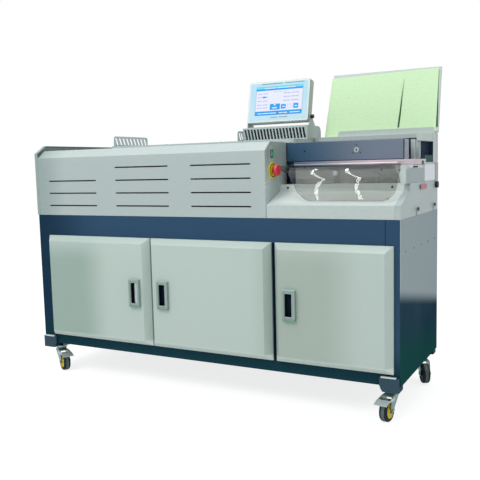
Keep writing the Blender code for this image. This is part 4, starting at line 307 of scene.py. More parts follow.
@dataclass
class EffectShelf:
    """Builds each shared effect once and hands out its node group."""

    made: dict[Effect, bpy.types.NodeTree] = field(default_factory=dict)

    def group(self, effect: Effect) -> bpy.types.NodeTree:
        """Gives an effect's node group, building it the first time.

        Args:
            effect: The effect wanted.

        Returns:
            The node group.
        """
        if effect not in self.made:
            self.made[effect] = getattr(self, "build_" + effect.name.lower())()
        return self.made[effect]

    @staticmethod
    def start(
        effect: Effect, inputs: list[tuple], outputs: list[tuple],
    ) -> tuple[Graph, dict, dict]:
        """Starts a group with named sockets.

        Args:
            effect: The effect that the group makes.
            inputs: Name, kind and default value of each input.
            outputs: Name and kind of each output.

        Returns:
            The group's graph, its inputs by name and its outputs' sockets by name.
        """
        tree = bpy.data.node_groups.new(effect.value, "ShaderNodeTree")
        for label, kind, value in inputs:
            socket = tree.interface.new_socket(
                name=label, in_out="INPUT", socket_type=SOCKETS[kind],
            )
            socket.default_value = value
        for label, kind in outputs:
            tree.interface.new_socket(name=label, in_out="OUTPUT", socket_type=SOCKETS[kind])
        graph = Graph(tree)
        given = graph.node("NodeGroupInput").outputs
        result = graph.node("NodeGroupOutput").inputs
        asked = {item[0]: given[item[0]] for item in inputs}
        return graph, asked, {item[0]: result[item[0]] for item in outputs}

    def build_coat(self) -> bpy.types.NodeTree:
        """Powder coat: slow shifts of tone, orange peel and a roughness that varies.

        Returns:
            The node group.
        """
        slow_scale, slow_share, fine_scale, fine_share, patch_scale = 1.9, 0.8, 45.0, 0.2, 14.0
        graph, given, result = self.start(
            Effect.COAT,
            [
                ("Colour", "colour", GREY), ("Mottle", "value", 0.05),
                ("Peel Scale", "value", 500.0),
                ("Roughness", "value", 0.4), ("Spread", "value", 0.08),
            ],
            [("Colour", "colour"), ("Roughness", "value"), ("Height", "value")],
        )
        slow = graph.product(graph.noise(slow_scale), slow_share)
        tone = graph.maths("ADD", slow, graph.product(graph.noise(fine_scale, 4.0), fine_share))
        graph.feed(
            result["Colour"],
            graph.shaded(given["Colour"], graph.swing(1.0, tone, given["Mottle"])),
        )
        patch = graph.noise(patch_scale, 5.0)
        graph.feed(result["Roughness"], graph.swing(given["Roughness"], patch, given["Spread"]))
        graph.feed(result["Height"], graph.noise(given["Peel Scale"], 2.0))
        return graph.tree

    def build_edge(self) -> bpy.types.NodeTree:
        """Edge wear and painted edge light: a broken mask where the surface turns outwards.

        Returns:
            The node group.
        """
        sharp_from, sharp_to = 0.53, 0.62
        broken_from, broken_to, least = 0.35, 0.65, 0.35
        graph, given, result = self.start(
            Effect.EDGE, [("Amount", "value", 0.3), ("Break Scale", "value", 60.0)],
            [("Mask", "value")]
        )
        point = graph.node("ShaderNodeNewGeometry").outputs["Pointiness"]
        edge = graph.spread(point, sharp_from, sharp_to, 0.0, 1.0)
        broken = graph.spread(
            graph.noise(given["Break Scale"], 4.0), broken_from, broken_to, least, 1.0,
        )
        graph.feed(result["Mask"], graph.product(edge, broken, given["Amount"]))
        return graph.tree

    def build_dust(self) -> bpy.types.NodeTree:
        """Settled dust: a cloudy mask on faces that look up.

        Returns:
            The node group.
        """
        tilt_from, tilt_to = 0.3, 0.95
        cloud_from, cloud_to, least = 0.3, 0.75, 0.3
        graph, given, result = self.start(
            Effect.DUST, [("Amount", "value", 0.2), ("Cloud Scale", "value", 9.0)],
            [("Mask", "value")]
        )
        split = graph.node("ShaderNodeSeparateXYZ")
        graph.feed(split.inputs[0], graph.node("ShaderNodeNewGeometry").outputs["Normal"])
        up = graph.spread(split.outputs["Z"], tilt_from, tilt_to, 0.0, 1.0)
        cloud = graph.spread(
            graph.noise(given["Cloud Scale"], 6.0), cloud_from, cloud_to, least, 1.0,
        )
        graph.feed(result["Mask"], graph.product(up, cloud, given["Amount"]))
        return graph.tree

    def build_brush(self) -> bpy.types.NodeTree:
        """Brushed metal: fine lines drawn out along one direction.

        Returns:
            The node group.
        """
        line_share, stain_share, stain_scale, darkest = 0.14, 0.16, 22.0, 0.85
        graph, given, result = self.start(
            Effect.BRUSH,
            [
                ("Colour", "colour", GREY), ("Stretch", "vector", (1.0, 1.0, 1.0)),
                ("Roughness", "value", 0.25), ("Spread", "value", 0.15),
            ],
            [("Colour", "colour"), ("Roughness", "value"), ("Height", "value")],
        )
        lines = graph.noise(1.0, 5.0, given["Stretch"])
        stain = graph.product(graph.noise(stain_scale, 5.0), stain_share)
        tone = graph.maths("ADD", graph.product(lines, line_share), stain)
        graph.feed(
            result["Colour"], graph.shaded(given["Colour"], graph.maths("ADD", tone, darkest)),
        )
        graph.feed(result["Roughness"], graph.swing(given["Roughness"], lines, given["Spread"]))
        graph.feed(result["Height"], lines)
        return graph.tree

    def build_grain(self) -> bpy.types.NodeTree:
        """Moulded grain: the fine leather-like texture of a plastic housing.

        Returns:
            The node group.
        """
        cloud_scale = 30.0
        graph, given, result = self.start(
            Effect.GRAIN,
            [
                ("Colour", "colour", GREY), ("Grain Scale", "value", 900.0),
                ("Mottle", "value", 0.05),
            ],
            [("Colour", "colour"), ("Height", "value")],
        )
        cell = graph.node("ShaderNodeTexVoronoi", feature="SMOOTH_F1")
        graph.feed(cell.inputs["Vector"], graph.place())
        graph.feed(cell.inputs["Scale"], given["Grain Scale"])
        cloud = graph.noise(cloud_scale, 4.0)
        graph.feed(
            result["Colour"],
            graph.shaded(given["Colour"], graph.swing(1.0, cloud, given["Mottle"])),
        )
        graph.feed(result["Height"], cell.outputs["Distance"])
        return graph.tree

    def build_fibre(self) -> bpy.types.NodeTree:
        """Paper fibre: flecks of a second tone and a short felted relief.

        Returns:
            The node group.
        """
        fleck_from, fleck_to = 0.45, 0.68
        dark_scale, dark_from, dark_to, dark_most = 300.0, 0.50, 0.72, 0.0875
        felt_scale, felt_stretch = 700.0, (1.0, 1.0, 0.4)
        graph, given, result = self.start(
            Effect.FIBRE,
            [
                ("Colour", "colour", GREY), ("Fleck", "colour", GREY),
                ("Fleck Scale", "value", 260.0), ("Amount", "value", 0.5),
            ],
            [("Colour", "colour"), ("Height", "value")],
        )
        fleck = graph.spread(graph.noise(given["Fleck Scale"]), fleck_from, fleck_to, 0.0, 1.0)
        dark = graph.spread(graph.noise(dark_scale, 2.0), dark_from, dark_to, 0.0, dark_most)
        body = graph.mix(graph.product(fleck, given["Amount"]), given["Colour"], given["Fleck"])
        graph.feed(result["Colour"], graph.shaded(body, graph.maths("SUBTRACT", 1.0, dark)))
        graph.feed(result["Height"], graph.noise(felt_scale, 5.0, felt_stretch))
        return graph.tree

    def build_shade(self) -> bpy.types.NodeTree:
        """Soft shade: the share of a second tone, mostly painted light and shade, fading along a
        panel's axis.

        Returns:
            The node group.
        """
        cloud_scale, cloud_from, cloud_to, least = 3.5, 0.2, 0.8, 0.94
        graph, given, result = self.start(
            Effect.SHADE,
            [
                ("Along", "value", 0.0), ("Start", "value", 0.0), ("End", "value", 1.0),
                ("Share", "value", 1.0),
            ],
            [("Share", "value")],
        )
        fading = graph.spread(given["Along"], given["Start"], given["End"], 1.0, 0.0)
        cloud = graph.spread(graph.noise(cloud_scale, 2.0), cloud_from, cloud_to, least, 1.0)
        graph.feed(result["Share"], graph.product(fading, cloud, given["Share"]))
        return graph.tree


EFFECTS = EffectShelf()


class Surface(Enum):
    """What a finish is made of, which decides the nodes it gets."""

    PAINT = "paint"
    METAL = "metal"
    PLASTIC = "plastic"
    PAPER = "paper"
    CLEAR = "clear"
    LIT = "lit"


@dataclass(frozen=True)
class Tint:
    """A second tone that a finish has at one end of an axis and loses towards the other; mostly
    painted light and shade.
    """

    colour: Colour
    axis: str
    start: float
    end: float
    share: float = 1.0
    lean: float = 0.0


@dataclass(frozen=True)
class Finish:
    """One finish of the machine and its own values for the shared effects."""

    name: str
    surface: Surface
    colour: Colour
    roughness: float = 0.42
    metallic: float = 0.0
    specular: float = 0.5
    coat: float = 0.0
    mottle: float = 0.05
    scale: float = 520.0
    bump: float = 0.06
    # edge and edge_colour mix a second colour into rounded edges: partly wear, partly painted
    # highlight and shade. On paper, edge_colour gives the flecks.
    edge: float = 0.25
    edge_colour: Colour = (205, 214, 213)
    dust: float = 0.06
    dust_colour: Colour = (214, 214, 206)
    stretch: Point = (60.0, 900.0, 900.0)
    glow: float = 0.0
    tints: tuple[Tint, ...] = ()

    def material(self) -> bpy.types.Material:
        """Gives this finish's material, building it the first time.

        Returns:
            The material.
        """
        label = f"{self.name}_finish"
        known = bpy.data.materials.get(label)
        if known is not None:
            return known
        made = bpy.data.materials.new(label)
        made.use_nodes = True
        made.node_tree.nodes.clear()
        graph = Graph(made.node_tree)
        shader = graph.node("ShaderNodeBsdfPrincipled")
        surface = shader.outputs[0]
        if self.surface is Surface.CLEAR:
            surface = self.lets_lamps_through(graph, surface)
        graph.feed(graph.node("ShaderNodeOutputMaterial").inputs["Surface"], surface)
        plain = shader.inputs
        plain["Metallic"].default_value = self.metallic
        plain["Specular IOR Level"].default_value = self.specular
        plain["Coat Weight"].default_value = self.coat
        plain["Coat Roughness"].default_value = COAT_ROUGHNESS
        self.dress(graph, shader)
        return made

    def lets_lamps_through(
        self, graph: Graph, surface: bpy.types.NodeSocket,
    ) -> bpy.types.NodeSocket:
        """Mixes a clear surface with a tinted transparent one for the rays that look for lamps.

        Args:
            graph: The material's graph.
            surface: The clear surface's shader.

        Returns:
            The mixed shader.
        """
        thin = graph.node("ShaderNodeBsdfTransparent")
        thin.inputs["Color"].default_value = linear(self.colour)
        mixed = graph.node("ShaderNodeMixShader")
        graph.feed(mixed.inputs[0], graph.node("ShaderNodeLightPath").outputs["Is Shadow Ray"])
        graph.feed(mixed.inputs[1], surface)
        graph.feed(mixed.inputs[2], thin.outputs[0])
        return mixed.outputs[0]

    def effect(
        self, graph: Graph, effect: Effect, **values: object,
    ) -> bpy.types.bpy_prop_collection:
        """Places a shared effect in the material with this finish's values.

        Args:
            graph: The material's graph.
            effect: The shared effect.
            **values: Inputs by name, with an underscore for each space.

        Returns:
            The outputs of the placed group.
        """
        placed = graph.node("ShaderNodeGroup", node_tree=EFFECTS.group(effect))
        for name, value in values.items():
            graph.feed(placed.inputs[name.replace("_", " ")], value)
        return placed.outputs

    def base(self, graph: Graph) -> tuple[object, object, object]:
        """Places the effect of this finish's surface.

        Args:
            graph: The material's graph.

        Returns:
            The surface's colour, roughness and height.
        """
        colour = linear(self.colour)
        if self.surface is Surface.METAL:
            made = self.effect(
                graph, Effect.BRUSH, Colour=colour, Stretch=self.stretch, Roughness=self.roughness,
                Spread=BRUSH_SPREAD
            )
        elif self.surface is Surface.PAPER:
            fleck = linear(self.edge_colour)
            made = self.effect(
                graph, Effect.FIBRE, Colour=colour, Fleck=fleck, Fleck_Scale=self.scale,
                Amount=FLECK_SHARE,
            )
        elif self.surface is Surface.PAINT:
            made = self.effect(
                graph, Effect.COAT, Colour=colour, Mottle=self.mottle, Peel_Scale=self.scale,
                Roughness=self.roughness, Spread=COAT_SPREAD,
            )
        else:
            made = self.effect(
                graph, Effect.GRAIN, Colour=colour, Grain_Scale=self.scale, Mottle=self.mottle,
            )
        return made["Colour"], made.get("Roughness", self.roughness), made["Height"]

    def layered(self, graph: Graph, tone: object) -> object:
        """Lays the second tones, the edge wear with its painted edge light, and the dust over a
        colour.

        Args:
            graph: The material's graph.
            tone: The surface's colour.

        Returns:
            The colour with everything on it.
        """
        for tint in self.tints:
            along = graph.axis(tint.axis)
            if tint.lean:
                along = graph.maths("ADD", along, graph.product(graph.axis("Y"), tint.lean))
            share = self.effect(
                graph, Effect.SHADE, Along=along, Start=tint.start, End=tint.end, Share=tint.share
            )["Share"]
            tone = graph.mix(share, tone, linear(tint.colour))
        if self.edge:
            # Edge mask: wear and painted highlight and shade on rounded edges.
            edge_wear_and_light = self.effect(graph, Effect.EDGE, Amount=self.edge, Break_Scale=EDGE_BREAK_SCALE)["Mask"]
            tone = graph.mix(edge_wear_and_light, tone, linear(self.edge_colour))
        if self.dust:
            dusty = self.effect(
                graph, Effect.DUST, Amount=self.dust, Cloud_Scale=DUST_SCALE,
            )["Mask"]
            tone = graph.mix(dusty, tone, linear(self.dust_colour))
        return tone

    def dress(self, graph: Graph, shader: bpy.types.Node) -> None:
        """Links the effects of this finish to the shader.

        Args:
            graph: The material's graph.
            shader: The Principled shader.
        """
        tone, rough, height = self.base(graph)
        tone = self.layered(graph, tone)
        graph.feed(shader.inputs["Roughness"], rough)
        if self.surface is Surface.CLEAR:
            shader.inputs["Transmission Weight"].default_value = 1.0
            shader.inputs["IOR"].default_value = ACRYLIC_IOR
        if self.glow:
            graph.feed(shader.inputs["Emission Color"], tone)
            shader.inputs["Emission Strength"].default_value = self.glow
            tone = graph.shaded(tone, 1.0 - self.glow)
        graph.feed(shader.inputs["Base Color"], tone)
        bump = graph.node("ShaderNodeBump")
        bump.inputs["Strength"].default_value = self.bump
        bump.inputs["Distance"].default_value = BUMP_DEPTH
        graph.feed(bump.inputs["Height"], height)
        graph.feed(shader.inputs["Normal"], bump.outputs[0])


class Look:
    """Every finish of the machine."""

    BLUE = Finish(
        "frame_blue", Surface.PAINT, (51, 78, 104), 0.50, specular=0.02, mottle=0.004, edge=0.0,
        dust=0.0,
        # Painted shade: darker towards the left and darker teal towards the bottom; greyer on the
        # proud foot fronts.
        tints=(
            Tint((24, 50, 70), "X", -0.77, -0.42), Tint((22, 57, 66), "Z", 0.15, 0.26, 0.95),
            Tint((64, 84, 98), "Y", -0.262, -0.258, 0.85),
        ),
    )
    # Painted sheen and shade: the pale grey at the top stands for a reflection and fades to dark
    # blue and teal below.
    SIDE_BLUE = Finish(
        "side_panel_blue_painted_sheen", Surface.PAINT, (160, 172, 176), 0.60, specular=0.0, mottle=0.02,
        edge=0.0, dust=0.0,
        tints=(
            Tint((25, 56, 74), "Z", 0.345, 0.400, 1.0, 0.19),
            Tint((30, 76, 74), "Z", 0.16, 0.32, 0.95, 0.19),
        ),
    )
    DOOR = Finish(
        "door_paint", Surface.PAINT, (184, 198, 191), 0.42, specular=0.3, mottle=0.02, edge=0.30,
        edge_colour=(206, 217, 211),
    )
    HOUSING = Finish(
        "housing_paint", Surface.PAINT, (174, 186, 184), 0.40, specular=0.3, mottle=0.012, edge=0.4,
        # Painted shade: darker towards the housing's left end.
        edge_colour=(222, 232, 229), tints=(Tint((146, 162, 159), "X", -0.76, -0.60),),
    )
    PALE = Finish(
        "pale_paint", Surface.PAINT, (184, 195, 191), 0.42, specular=0.3, mottle=0.01, edge=0.35,
        edge_colour=(216, 226, 222),
    )
    CONTROL = Finish(
        "control_plate_paint", Surface.PAINT, (170, 182, 179), 0.42, specular=0.25, mottle=0.02,
        # Painted shade: darker towards the top of the plate.
        edge=0.35, edge_colour=(206, 216, 212), tints=(Tint((140, 153, 151), "Z", 0.90, 0.78),),
    )
    # Painted light: lighter towards the top of the deck.
    DECK = replace(PALE, name="deck_paint", tints=(Tint((206, 217, 215), "Z", 0.722, 0.709),))
    WALL = Finish(
        "inner_wall_paint", Surface.PAINT, (172, 178, 177), 0.42, specular=0.3, mottle=0.03,
        edge=0.3, edge_colour=(212, 219, 217),
        # Painted shade: darker towards the right, and dark slate at the top under the clamp.
        tints=(
            Tint((130, 139, 139), "X", 0.72, 0.40, 0.8),
            Tint((86, 98, 106), "Z", 0.845, 0.812, 0.85),
        ),
    )
    END = Finish(
        "end_paint", Surface.PAINT, (144, 161, 158), 0.44, specular=0.25, mottle=0.03, edge=0.35,
        edge_colour=(190, 203, 199),
    )
    GUARD = Finish(
        "guard_paint", Surface.PAINT, (172, 184, 183), 0.44, specular=0.25, mottle=0.03, edge=0.35,
        edge_colour=(206, 215, 212),
    )
    WHITE = Finish(
        "white_paint", Surface.PAINT, (228, 232, 238), 0.45, specular=0.3, mottle=0.02, edge=0.2,
    )
    JAW = Finish(
        "clamp_slate", Surface.PAINT, (118, 129, 144), 0.44, specular=0.05, mottle=0.09,
        scale=300.0, edge=0.4, edge_colour=(160, 172, 188),
        tints=(Tint((50, 84, 110), "X", 0.30, 0.66),),
    )
    # Dark navy for the rear jaw, which sits in shade behind the end opening: painted shade.
    JAW_DARK = Finish(
        "clamp_shadow_paint", Surface.PAINT, (30, 50, 68), 0.46, specular=0.04, mottle=0.10,
        edge=0.3, edge_colour=(92, 110, 124),
    )
    END_PLATE = Finish(
        "end_cover_grey", Surface.PAINT, (158, 171, 171), 0.44, specular=0.2, mottle=0.02, edge=0.4,
        edge_colour=(140, 154, 152),
    )
    # Dark navy strips in the gaps beside the middle door: painted shade.
    GAP_SHADE = Finish(
        "door_gap_painted_shade", Surface.PLASTIC, (10, 26, 46), 0.8, mottle=0.05, edge=0.0, dust=0.0,
        bump=0.1, specular=0.02,
    )
    STRIP = Finish(
        "end_strip_steel", Surface.PAINT, (146, 140, 138), 0.40, 0.3, specular=0.3, mottle=0.05,
        edge=0.3, edge_colour=(196, 196, 194), dust=0.0,
    )
    # Dark plates standing for the shade inside openings, gaps and the end catch: painted shade.
    SHADOW = Finish(
        "painted_shade_navy", Surface.PAINT, (38, 56, 76), 0.6, specular=0.02, mottle=0.02, edge=0.0,
        dust=0.0,
    )
    SHADOW_GREEN = replace(SHADOW, name="painted_shade_green", colour=(60, 90, 88))
    LABEL = Finish(
        "plain_label_rose", Surface.PAPER, (188, 134, 142), 0.6, edge_colour=(206, 160, 168),
        scale=420.0, bump=0.05, edge=0.0, dust=0.0, specular=0.1,
    )
    LILAC = Finish(
        "jaw_end_paint", Surface.PAINT, (128, 138, 148), 0.42, specular=0.2, mottle=0.04, edge=0.3,
        edge_colour=(196, 200, 210),
    )
    CHROME = Finish(
        "handle_chrome", Surface.PAINT, (140, 160, 153), 0.30, 0.15, specular=0.4, mottle=0.02,
        edge=0.12, edge_colour=(232, 240, 238), dust=0.0, bump=0.02,
        # Painted shade and highlight: greener towards the bottom and lighter at the top, which also
        # lightens the lock knob.
        tints=(
            Tint((84, 136, 116), "Z", 0.3215, 0.3295, 0.7),
            Tint((168, 190, 183), "Z", 0.4275, 0.4215),
        ),
    )
    SATIN = Finish(
        "handle_satin", Surface.PAINT, (180, 194, 193), 0.34, 0.3, specular=0.4, mottle=0.03,
        edge=0.4, edge_colour=(228, 236, 234),
    )
    ZINC = Finish(
        "caster_zinc", Surface.PAINT, (104, 138, 124), 0.28, 0.3, specular=0.4, mottle=0.15,
        scale=160.0, edge=0.06, edge_colour=(214, 222, 222), dust=0.1, bump=0.05,
    )
    ALUMINIUM = Finish(
        "table_aluminium", Surface.METAL, (186, 176, 182), 0.46, 1.0,
        stretch=(25.0, 1400.0, 1400.0), edge=0.0, dust=0.0, bump=0.05,
        # Painted shade and reflection: darker towards the left end of the bar.
        tints=(Tint((98, 108, 124), "X", 0.36, 0.64),),
    )
    STEEL = Finish(
        "ground_steel", Surface.METAL, (176, 180, 184), 0.22, 1.0, stretch=(1200.0, 60.0, 1200.0),
        edge=0.0, dust=0.0, bump=0.03,
    )
    RAIL = replace(STEEL, name="rail_steel", colour=(74, 88, 104), roughness=0.34)
    CAST = Finish(
        "cast_metal", Surface.PAINT, (132, 136, 136), 0.55, 0.6, mottle=0.25, scale=240.0, bump=0.4,
        edge=0.3,
    )
    SCREW = Finish(
        "screw_zinc", Surface.METAL, (188, 192, 194), 0.26, 1.0, stretch=(400.0, 400.0, 400.0),
        edge=0.0, dust=0.0,
    )
    SCREW_DARK = replace(
        SCREW, name="screw_black", colour=(40, 56, 56), roughness=0.38, metallic=0.7, edge=0.3,
    )
    BLACK = Finish(
        "black_plastic", Surface.PLASTIC, (24, 30, 38), 0.40, mottle=0.2, edge=0.2,
        edge_colour=(90, 96, 102), bump=0.15, specular=0.35,
    )
    # Near-black navy for the dark joint on the top rail, and painted shade in recesses and slots.
    DARK = Finish(
        "dark_joint_and_recess_shade", Surface.PLASTIC, (12, 26, 40), 0.75, mottle=0.2, edge=0.0, dust=0.0, bump=0.1,
        specular=0.1,
    )
    # Darker grey-green edges: painted shade along the rounded edges.
    CASE = Finish(
        "case_white", Surface.PLASTIC, (214, 222, 219), 0.42, mottle=0.02, edge=0.5,
        edge_colour=(150, 164, 158), bump=0.10, specular=0.3,
        tints=(Tint((146, 162, 152), "X", 0.2875, 0.2840),),
    )
    CASE_LINE = Finish(
        "printed_grey", Surface.PLASTIC, (118, 146, 164), 0.40, mottle=0.02, edge=0.0, dust=0.0,
        bump=0.02, specular=0.2,
    )
    MEMBRANE = Finish(
        "membrane_blue", Surface.PLASTIC, (172, 210, 226), 0.32, mottle=0.02, edge=0.0, dust=0.0,
        bump=0.04, scale=1500.0, specular=0.2, tints=(Tint((196, 220, 232), "Z", 1.06, 1.14, 0.5),),
    )
    TYRE = Finish(
        "tyre_rubber", Surface.PLASTIC, (28, 42, 50), 0.72, mottle=0.5, edge=0.25,
        edge_colour=(92, 104, 104), dust=0.15, bump=0.5, scale=700.0, specular=0.15,
    )
    TREAD = Finish(
        "worn_tread", Surface.PLASTIC, (92, 108, 106), 0.80, mottle=0.9, edge=0.2,
        edge_colour=(140, 146, 142), dust=0.25, bump=0.7, scale=420.0, specular=0.1,
    )
    HUB = Finish(
        "hub_yellow", Surface.PLASTIC, (232, 200, 8), 0.36, mottle=0.06, edge=0.2,
        edge_colour=(250, 230, 110), bump=0.05, specular=0.25,
    )
    RED = Finish(
        "button_red", Surface.PLASTIC, (206, 44, 62), 0.30, mottle=0.05, edge=0.25,
        edge_colour=(236, 120, 130), coat=0.2, bump=0.03, specular=0.3,
    )
    YELLOW = Finish(
        "collar_yellow", Surface.PLASTIC, (222, 212, 40), 0.38, mottle=0.05, edge=0.2,
        edge_colour=(244, 236, 120), bump=0.04, specular=0.25,
    )
    GREEN = Finish(
        "rocker_green", Surface.PLASTIC, (20, 206, 96), 0.25, mottle=0.05, edge=0.3,
        edge_colour=(150, 240, 190), coat=0.2, bump=0.02, glow=0.4, dust=0.0,
    )
    ACRYLIC = Finish(
        "clear_acrylic", Surface.CLEAR, (198, 198, 196), 0.02, mottle=0.02, edge=0.0, dust=0.0,
        bump=0.004, scale=120.0,
    )
    SHEET = Finish(
        "cover_card_green", Surface.PAPER, (204, 233, 190), 0.85, edge_colour=(220, 246, 206),
        scale=420.0, bump=0.15, edge=0.0, dust=0.0, specular=0.1,
    )
    # Dark green strips for the shade in the card's slit and along its edge, lighter towards the top
    # where the slit narrows: painted shade.
    SLIT_SHADE = Finish(
        "card_slit_shadow", Surface.PAPER, (44, 96, 58), 0.9, edge_colour=(60, 112, 66),
        scale=330.0, bump=0.1, edge=0.0, dust=0.0, specular=0.05,
        tints=(Tint((120, 170, 112), "Z", 1.16, 1.05),),
    )
    LCD = Finish(
        "display_ground", Surface.LIT, (226, 229, 248), 0.30, mottle=0.01, edge=0.0, dust=0.0,
        bump=0.01, scale=2400.0, glow=0.5, specular=0.1,
    )
    LCD_BLUE = replace(LCD, name="display_blue", colour=(40, 156, 232), mottle=0.05, glow=0.6)
    LCD_CYAN = replace(LCD_BLUE, name="display_cyan", colour=(110, 220, 242))
    LCD_TEXT = replace(LCD, name="display_lilac", colour=(186, 184, 222), mottle=0.15)
    LCD_ROSE = replace(LCD_TEXT, name="display_rose", colour=(222, 190, 206))


class Axis(Enum):
    """The axis a prism is drawn out along, with the two axes of its outline."""

    X = (1, 2, 0)
    Y = (0, 2, 1)
    Z = (0, 1, 2)

    def point(self, u: float, v: float, along: float) -> Point:
        """Gives the point at a place of the outline and along the axis."""
        places = dict(zip(self.value, (u, v, along)))
        return (places[0], places[1], places[2])


def smooth_mesh(mesh: bpy.types.Mesh, angle: float = 34.0) -> None:
    """Shades a mesh smoothly, apart from edges sharper than an angle in degrees."""
    mesh.shade_smooth()
    mesh.set_sharp_from_angle(angle=math.radians(angle))


def object_from(name: str, shape: bmesh.types.BMesh, even: bool = True) -> bpy.types.Object:
    """Turns a bmesh into a shown object.

    Args:
        name: The piece's name.
        shape: The finished bmesh, which is freed.
        even: Whether flat faces keep flat shading beside round edges.

    Returns:
        The new object.
    """
    bmesh.ops.recalc_face_normals(shape, faces=shape.faces)
    mesh = bpy.data.meshes.new(name)
    shape.to_mesh(mesh)
    shape.free()
    smooth_mesh(mesh)
    made = bpy.data.objects.new(name, mesh)
    bpy.context.scene.collection.objects.link(made)
    if even:
        flat = made.modifiers.new("even_normals", "WEIGHTED_NORMAL")
        flat.keep_sharp = True
    return made


def soften(shape: bmesh.types.BMesh, width: float, angle: float = 33.0, segments: int = 2) -> None:
    """Rounds the sharp edges of a bmesh.

    Args:
        shape: The bmesh to change.
        width: Width of the rounding.
        angle: Edges that turn by more than this many degrees are rounded.
        segments: Faces across the rounding.
    """
    limit = math.radians(angle)
    sharp = [e for e in shape.edges if len(e.link_faces) == 2 and e.calc_face_angle(0.0) > limit]
    if sharp and width > 0:
        bmesh.ops.bevel(
            shape, geom=sharp, offset=width, offset_type="OFFSET", segments=segments, profile=0.5,
            affect="EDGES", clamp_overlap=True, loop_slide=True,
        )


def dressed(node: str, width: float) -> bpy.types.Object:
    """Makes a shown copy of a CAD node with its flat faces joined and its edges rounded.

    Args:
        node: The CAD node.
        width: Width of the rounded edges.

    Returns:
        The piece, which replaces the node.
    """
    source = bpy.data.objects[node]
    shape = bmesh.new()
    shape.from_mesh(source.data)
    bmesh.ops.remove_doubles(shape, verts=shape.verts, dist=WELD)
    bmesh.ops.dissolve_limit(shape, angle_limit=FLAT_WITHIN, verts=shape.verts, edges=shape.edges)
    soften(shape, width)
    made = object_from(node + "_skin", shape)
    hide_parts(node)
    return made


def add_prism(
    shape: bmesh.types.BMesh, outline: Outline, axis: Axis, start: float, end: float,
    width: float = 0.0,
) -> None:
    """Adds a straight prism to a bmesh.

    Args:
        shape: The bmesh to add to.
        outline: Points of the outline, in the frame's coordinates.
        axis: The axis it is drawn out along.
        start: Where it starts along that axis.
        end: Where it ends.
        width: Width of its rounded edges.
    """
    part = bmesh.new()
    rings = [
        [part.verts.new(axis.point(u, v, place)) for u, v in outline] for place in (start, end)
    ]
    part.faces.new(rings[0])
    part.faces.new(rings[1])
    count = len(outline)
    for i in range(count):
        j = (i + 1) % count
        part.faces.new((rings[0][i], rings[0][j], rings[1][j], rings[1][i]))
    soften(part, width)
    merge_into(shape, part)


def merge_into(shape: bmesh.types.BMesh, part: bmesh.types.BMesh) -> None:
    """Adds a finished bmesh to another and frees it.

    Args:
        shape: The bmesh to add to.
        part: The bmesh that is added.
    """
    bmesh.ops.recalc_face_normals(part, faces=part.faces)
    mesh = bpy.data.meshes.new("part")
    part.to_mesh(mesh)
    part.free()
    shape.from_mesh(mesh)
    bpy.data.meshes.remove(mesh)


def oblong(
    low: tuple[float, float], high: tuple[float, float], corner: float = 0.0, steps: int = 4,
) -> Outline:
    """Gives a rectangle's outline with round corners.

    Args:
        low: Lowest corner.
        high: Highest corner.
        corner: Radius of the corners.
        steps: Sides of each corner's arc.

    Returns:
        The outline's points in order.
    """
    if corner <= 0:
        return [low, (high[0], low[1]), high, (low[0], high[1])]
    points = []
    centres = (
        (high[0] - corner, low[1] + corner, -90), (high[0] - corner, high[1] - corner, 0),
        (low[0] + corner, high[1] - corner, 90), (low[0] + corner, low[1] + corner, 180),
    )
    for u, v, begin in centres:
        for i in range(steps + 1):
            turn = math.radians(begin + 90 * i / steps)
            points.append((u + corner * math.cos(turn), v + corner * math.sin(turn)))
    return points


def add_box(
    shape: bmesh.types.BMesh, low: Vector, high: Vector, width: float = 0.0003, corner: float = 0.0,
    axis: Axis = Axis.Z,
) -> None:
    """Adds a box with rounded edges to a bmesh.

    Args:
        shape: The bmesh to add to.
        low: The box's lowest corner.
        high: Its highest corner.
        width: Width of its rounded edges.
        corner: Radius of its four corners along the axis.
        axis: The axis that the corners are rounded along.
    """
    first, second, third = axis.value
    outline = oblong((low[first], low[second]), (high[first], high[second]), corner)
    add_prism(shape, outline, axis, low[third], high[third], width)


def turned_matrix(centre: Vector, direction: Vector) -> Matrix:
    """Gives the placing of a turned part: its own Z lies along a direction from a centre."""
    turn = Vector(direction).to_track_quat("Z", "Y").to_matrix()
    return Matrix.Translation(centre) @ turn.to_4x4()


def add_turned(
    shape: bmesh.types.BMesh, profile: Outline, centre: Vector, direction: Vector, steps: int = 32,
) -> None:
    """Adds a part turned round an axis.

    Args:
        shape: The bmesh to add to.
        profile: Radius and place along the axis of each ring. Radius 0 closes an end by a point.
        centre: Where the axis starts.
        direction: Which way the axis points.
        steps: Sides of the circle.
    """
    placing = turned_matrix(centre, direction)
    part = bmesh.new()
    rings = []
    for radius, along in profile:
        if radius <= 1e-6:
            rings.append([part.verts.new(placing @ Vector((0, 0, along)))])
            continue
        ring = []
        for i in range(steps):
            turn = 2 * math.pi * i / steps
            spot = Vector((radius * math.cos(turn), radius * math.sin(turn), along))
            ring.append(part.verts.new(placing @ spot))
        rings.append(ring)
    closed = len(rings[0]) > 1 and len(rings[-1]) > 1
    pairs = list(zip(rings, rings[1:])) + ([(rings[-1], rings[0])] if closed else [])
    for low, high in pairs:
        for i in range(steps):
            j = (i + 1) % steps
            corners = [
                low[i % len(low)], low[j % len(low)], high[j % len(high)], high[i % len(high)],
            ]
            unique = list(dict.fromkeys(corners))
            if len(unique) > 2:
                part.faces.new(unique)
    merge_into(shape, part)


